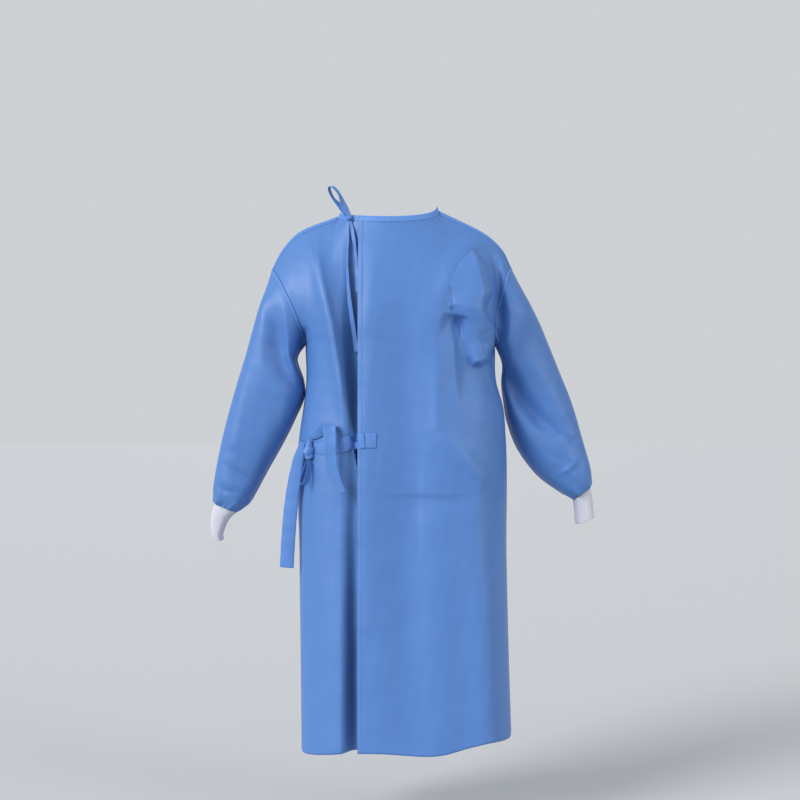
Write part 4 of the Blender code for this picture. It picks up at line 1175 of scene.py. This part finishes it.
def welt(name, owner, grid, normal, closed=False):
    # a narrow seam allowance that stands off the cloth beneath it
    piece = clothShell(name, grid + normal * sewing["weltLift"], grid + normal * sewing["weltGap"], bindingCloth,
                       closed=closed)
    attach(piece, "root")
    welts[owner].append(piece)


selectOnly(bodyCloth["frontPanel"]["piece"])
bodyCloth["frontPanel"]["piece"].select_set(False)
bpy.ops.mesh.primitive_uv_sphere_add(segments=6, ring_count=4, radius=1, location=(0, 0, 0))
stitch = bpy.context.object
for vert in stitch.data.vertices:
    vert.co = Vector((vert.co.z * sewing["stitchLength"] / 2, vert.co.x * sewing["stitchRadius"],
                      vert.co.y * sewing["stitchRadius"]))


def stitchRow(name, path, normal, thread, lift=0.0):
    steps = np.concatenate([[0], np.cumsum(np.linalg.norm(np.diff(path, axis=0), axis=-1))])

    def at(values, spot):
        return np.array([np.interp(spot, steps, values[:, k]) for k in range(3)])

    copies = []
    for spot in np.arange(sewing["pitch"] / 2, steps[-1], sewing["pitch"]):
        place, up = at(path, spot), at(normal, spot)
        ahead = at(path, spot + 0.0015) - at(path, spot - 0.0015)
        ahead /= np.linalg.norm(ahead)
        across = np.cross(up, ahead)
        across /= np.linalg.norm(across)
        up = np.cross(ahead, across)
        turned = Matrix(np.stack([ahead, across, up], axis=-1).tolist()).to_4x4()
        turned.translation = Vector(place + up * lift)
        copy = bpy.data.objects.new(name, stitch.data.copy())
        bpy.context.scene.collection.objects.link(copy)
        copy.data.transform(turned)
        copies.append(copy)
    row = joined(name, copies)
    row.data.materials.append(thread)
    row.data.shade_smooth()
    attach(row, "root")


seamCount = {"armholeRows": 3, "shoulderRows": 4, "sideColumns": 3, "sleeveColumns": 3}
afterNeck, beforeNeck = len(edgeShares), 61
armpitRow = int(np.searchsorted(backHeights, 1.0))
for hand, panel in (("right", "backPanelRight"), ("left", "backPanelLeft")):
    sleeve, cloth = sleeves[hand], bodyCloth[panel]
    title = hand.title()
    rows = slice(0, seamCount["armholeRows"])
    welt("armholeSeam" + title, "sleeve" + title, sleeve["grid"][rows], sleeve["normal"][rows], closed=True)
    ring = sleeve["grid"][1]
    stitchRow("armholeStitches" + title, np.concatenate([ring, ring[:1]]),
              np.concatenate([sleeve["normal"][1], sleeve["normal"][1][:1]]), blueThread, sewing["weltLift"])
    middle = len(sleeve["angles"]) // 2
    columns = slice(middle - 1, middle + seamCount["sleeveColumns"] - 1)
    welt("sleeveSeam" + title, "sleeve" + title, sleeve["grid"][2:-1, columns], sleeve["normal"][2:-1, columns])
    grid, normal = cloth["grid"], cloth["normal"]
    beyond = slice(afterNeck, None) if hand == "right" else slice(0, beforeNeck)
    rows = slice(-seamCount["shoulderRows"], None)
    welt("shoulderSeam" + title, panel, grid[rows, beyond], normal[rows, beyond])
    for row, word in ((-2, "Upper"), (-seamCount["shoulderRows"], "Lower")):
        stitchRow("shoulderStitches" + title + word, grid[row, beyond], normal[row, beyond], blueThread,
                  sewing["weltLift"] if row == -2 else 0.0003)
    columns = slice(-seamCount["sideColumns"], None) if hand == "right" else slice(0, seamCount["sideColumns"])
    welt("sideSeam" + title, panel, grid[:armpitRow, columns], normal[:armpitRow, columns])
for name, (flat, area) in flatCuts.items():
    owner = bodyCloth[name] if name in bodyCloth else sleeves[name.replace("sleeve", "").lower()]
print("seams sewn")

for name, bound in bindings.items():
    path = bound["base"] + bound["up"] * 0.0 + bound["out"] * bindingLook["thick"] / 2
    stitchRow(name + "Stitches", path, bound["out"], paleThread)
x, z = np.array(w["patch"]), w["patchZ"]
for word, places in (("Near", [(x[0] - 0.003, z - 0.0145), (x[0] - 0.003, z + 0.0145)]),
                     ("Far", [(x[-1] + 0.004, z - 0.0145), (x[-1] + 0.004, z + 0.0145)]),
                     ("Upper", [(x[0] - 0.003, z + 0.0145), (x[-1] + 0.004, z + 0.0145)]),
                     ("Lower", [(x[0] - 0.003, z - 0.0145), (x[-1] + 0.004, z - 0.0145)])):
    spots = np.array(places)
    path = onBack(spots[:, 0], spots[:, 1], lift + 0.0006 + w["thick"] / 2)
    stitchRow("patchStitches" + word, path, faceOfBack(spots[:, 0], spots[:, 1]), paleThread, 0.0001)
bpy.data.objects.remove(stitch, do_unlink=True)
print("stitches made")

studio = {
    "floorZ": -1.42,
    "floorTone": (0.510, 0.520, 0.535, 1.0),
    "worldTone": (0.92, 0.96, 1.0, 1.0),
    "worldPower": 0.66,
    "softness": 0.45,
    # name, where it shines from, power
    "suns": (("keyLeft", (-0.70, -0.57, 0.43), 2.8), ("fillRight", (0.80, -0.54, 0.28), 0.80),
             ("backSoft", (-0.10, 0.80, 0.30), 0.45)),
    "cameraPlace": (0.020, -3.5, -0.432),
    "focalPixels": 3.5 / 0.00235,
}
bpy.ops.mesh.primitive_plane_add(size=60, location=(0, 0, studio["floorZ"]))
floor = bpy.context.object
floor.name = "studioFloor"
pale = Finish("paleFloor")
grain = pale.noise(2.0, 2.0)
tone = studio["floorTone"]
floor.data.materials.append(pale.set(
    Base_Color=pale.blend(grain, tuple(c * 0.99 for c in tone[:3]) + (1.0,), tone), Roughness=0.9))

world = bpy.data.worlds.new("studioWorld")
bpy.context.scene.world = world
world.use_nodes = True
backdrop = world.node_tree.nodes["Background"]
backdrop.inputs["Color"].default_value = studio["worldTone"]
backdrop.inputs["Strength"].default_value = studio["worldPower"]

for name, source, power in studio["suns"]:
    sun = bpy.data.lights.new(name, "SUN")
    sun.angle, sun.energy = studio["softness"], power
    holder = bpy.data.objects.new(name, sun)
    bpy.context.scene.collection.objects.link(holder)
    holder.rotation_euler = Vector(source).to_track_quat("Z", "Y").to_euler()

lens = bpy.data.cameras.new("photoCamera")
lens.sensor_width = 36
lens.lens = studio["focalPixels"] / 800 * 36
camera = bpy.data.objects.new("photoCamera", lens)
bpy.context.scene.collection.objects.link(camera)
camera.location = studio["cameraPlace"]
camera.rotation_euler = (np.pi / 2, 0, 0)
bpy.context.scene.camera = camera
bpy.context.scene.view_settings.view_transform = "Standard"
print("studio set")
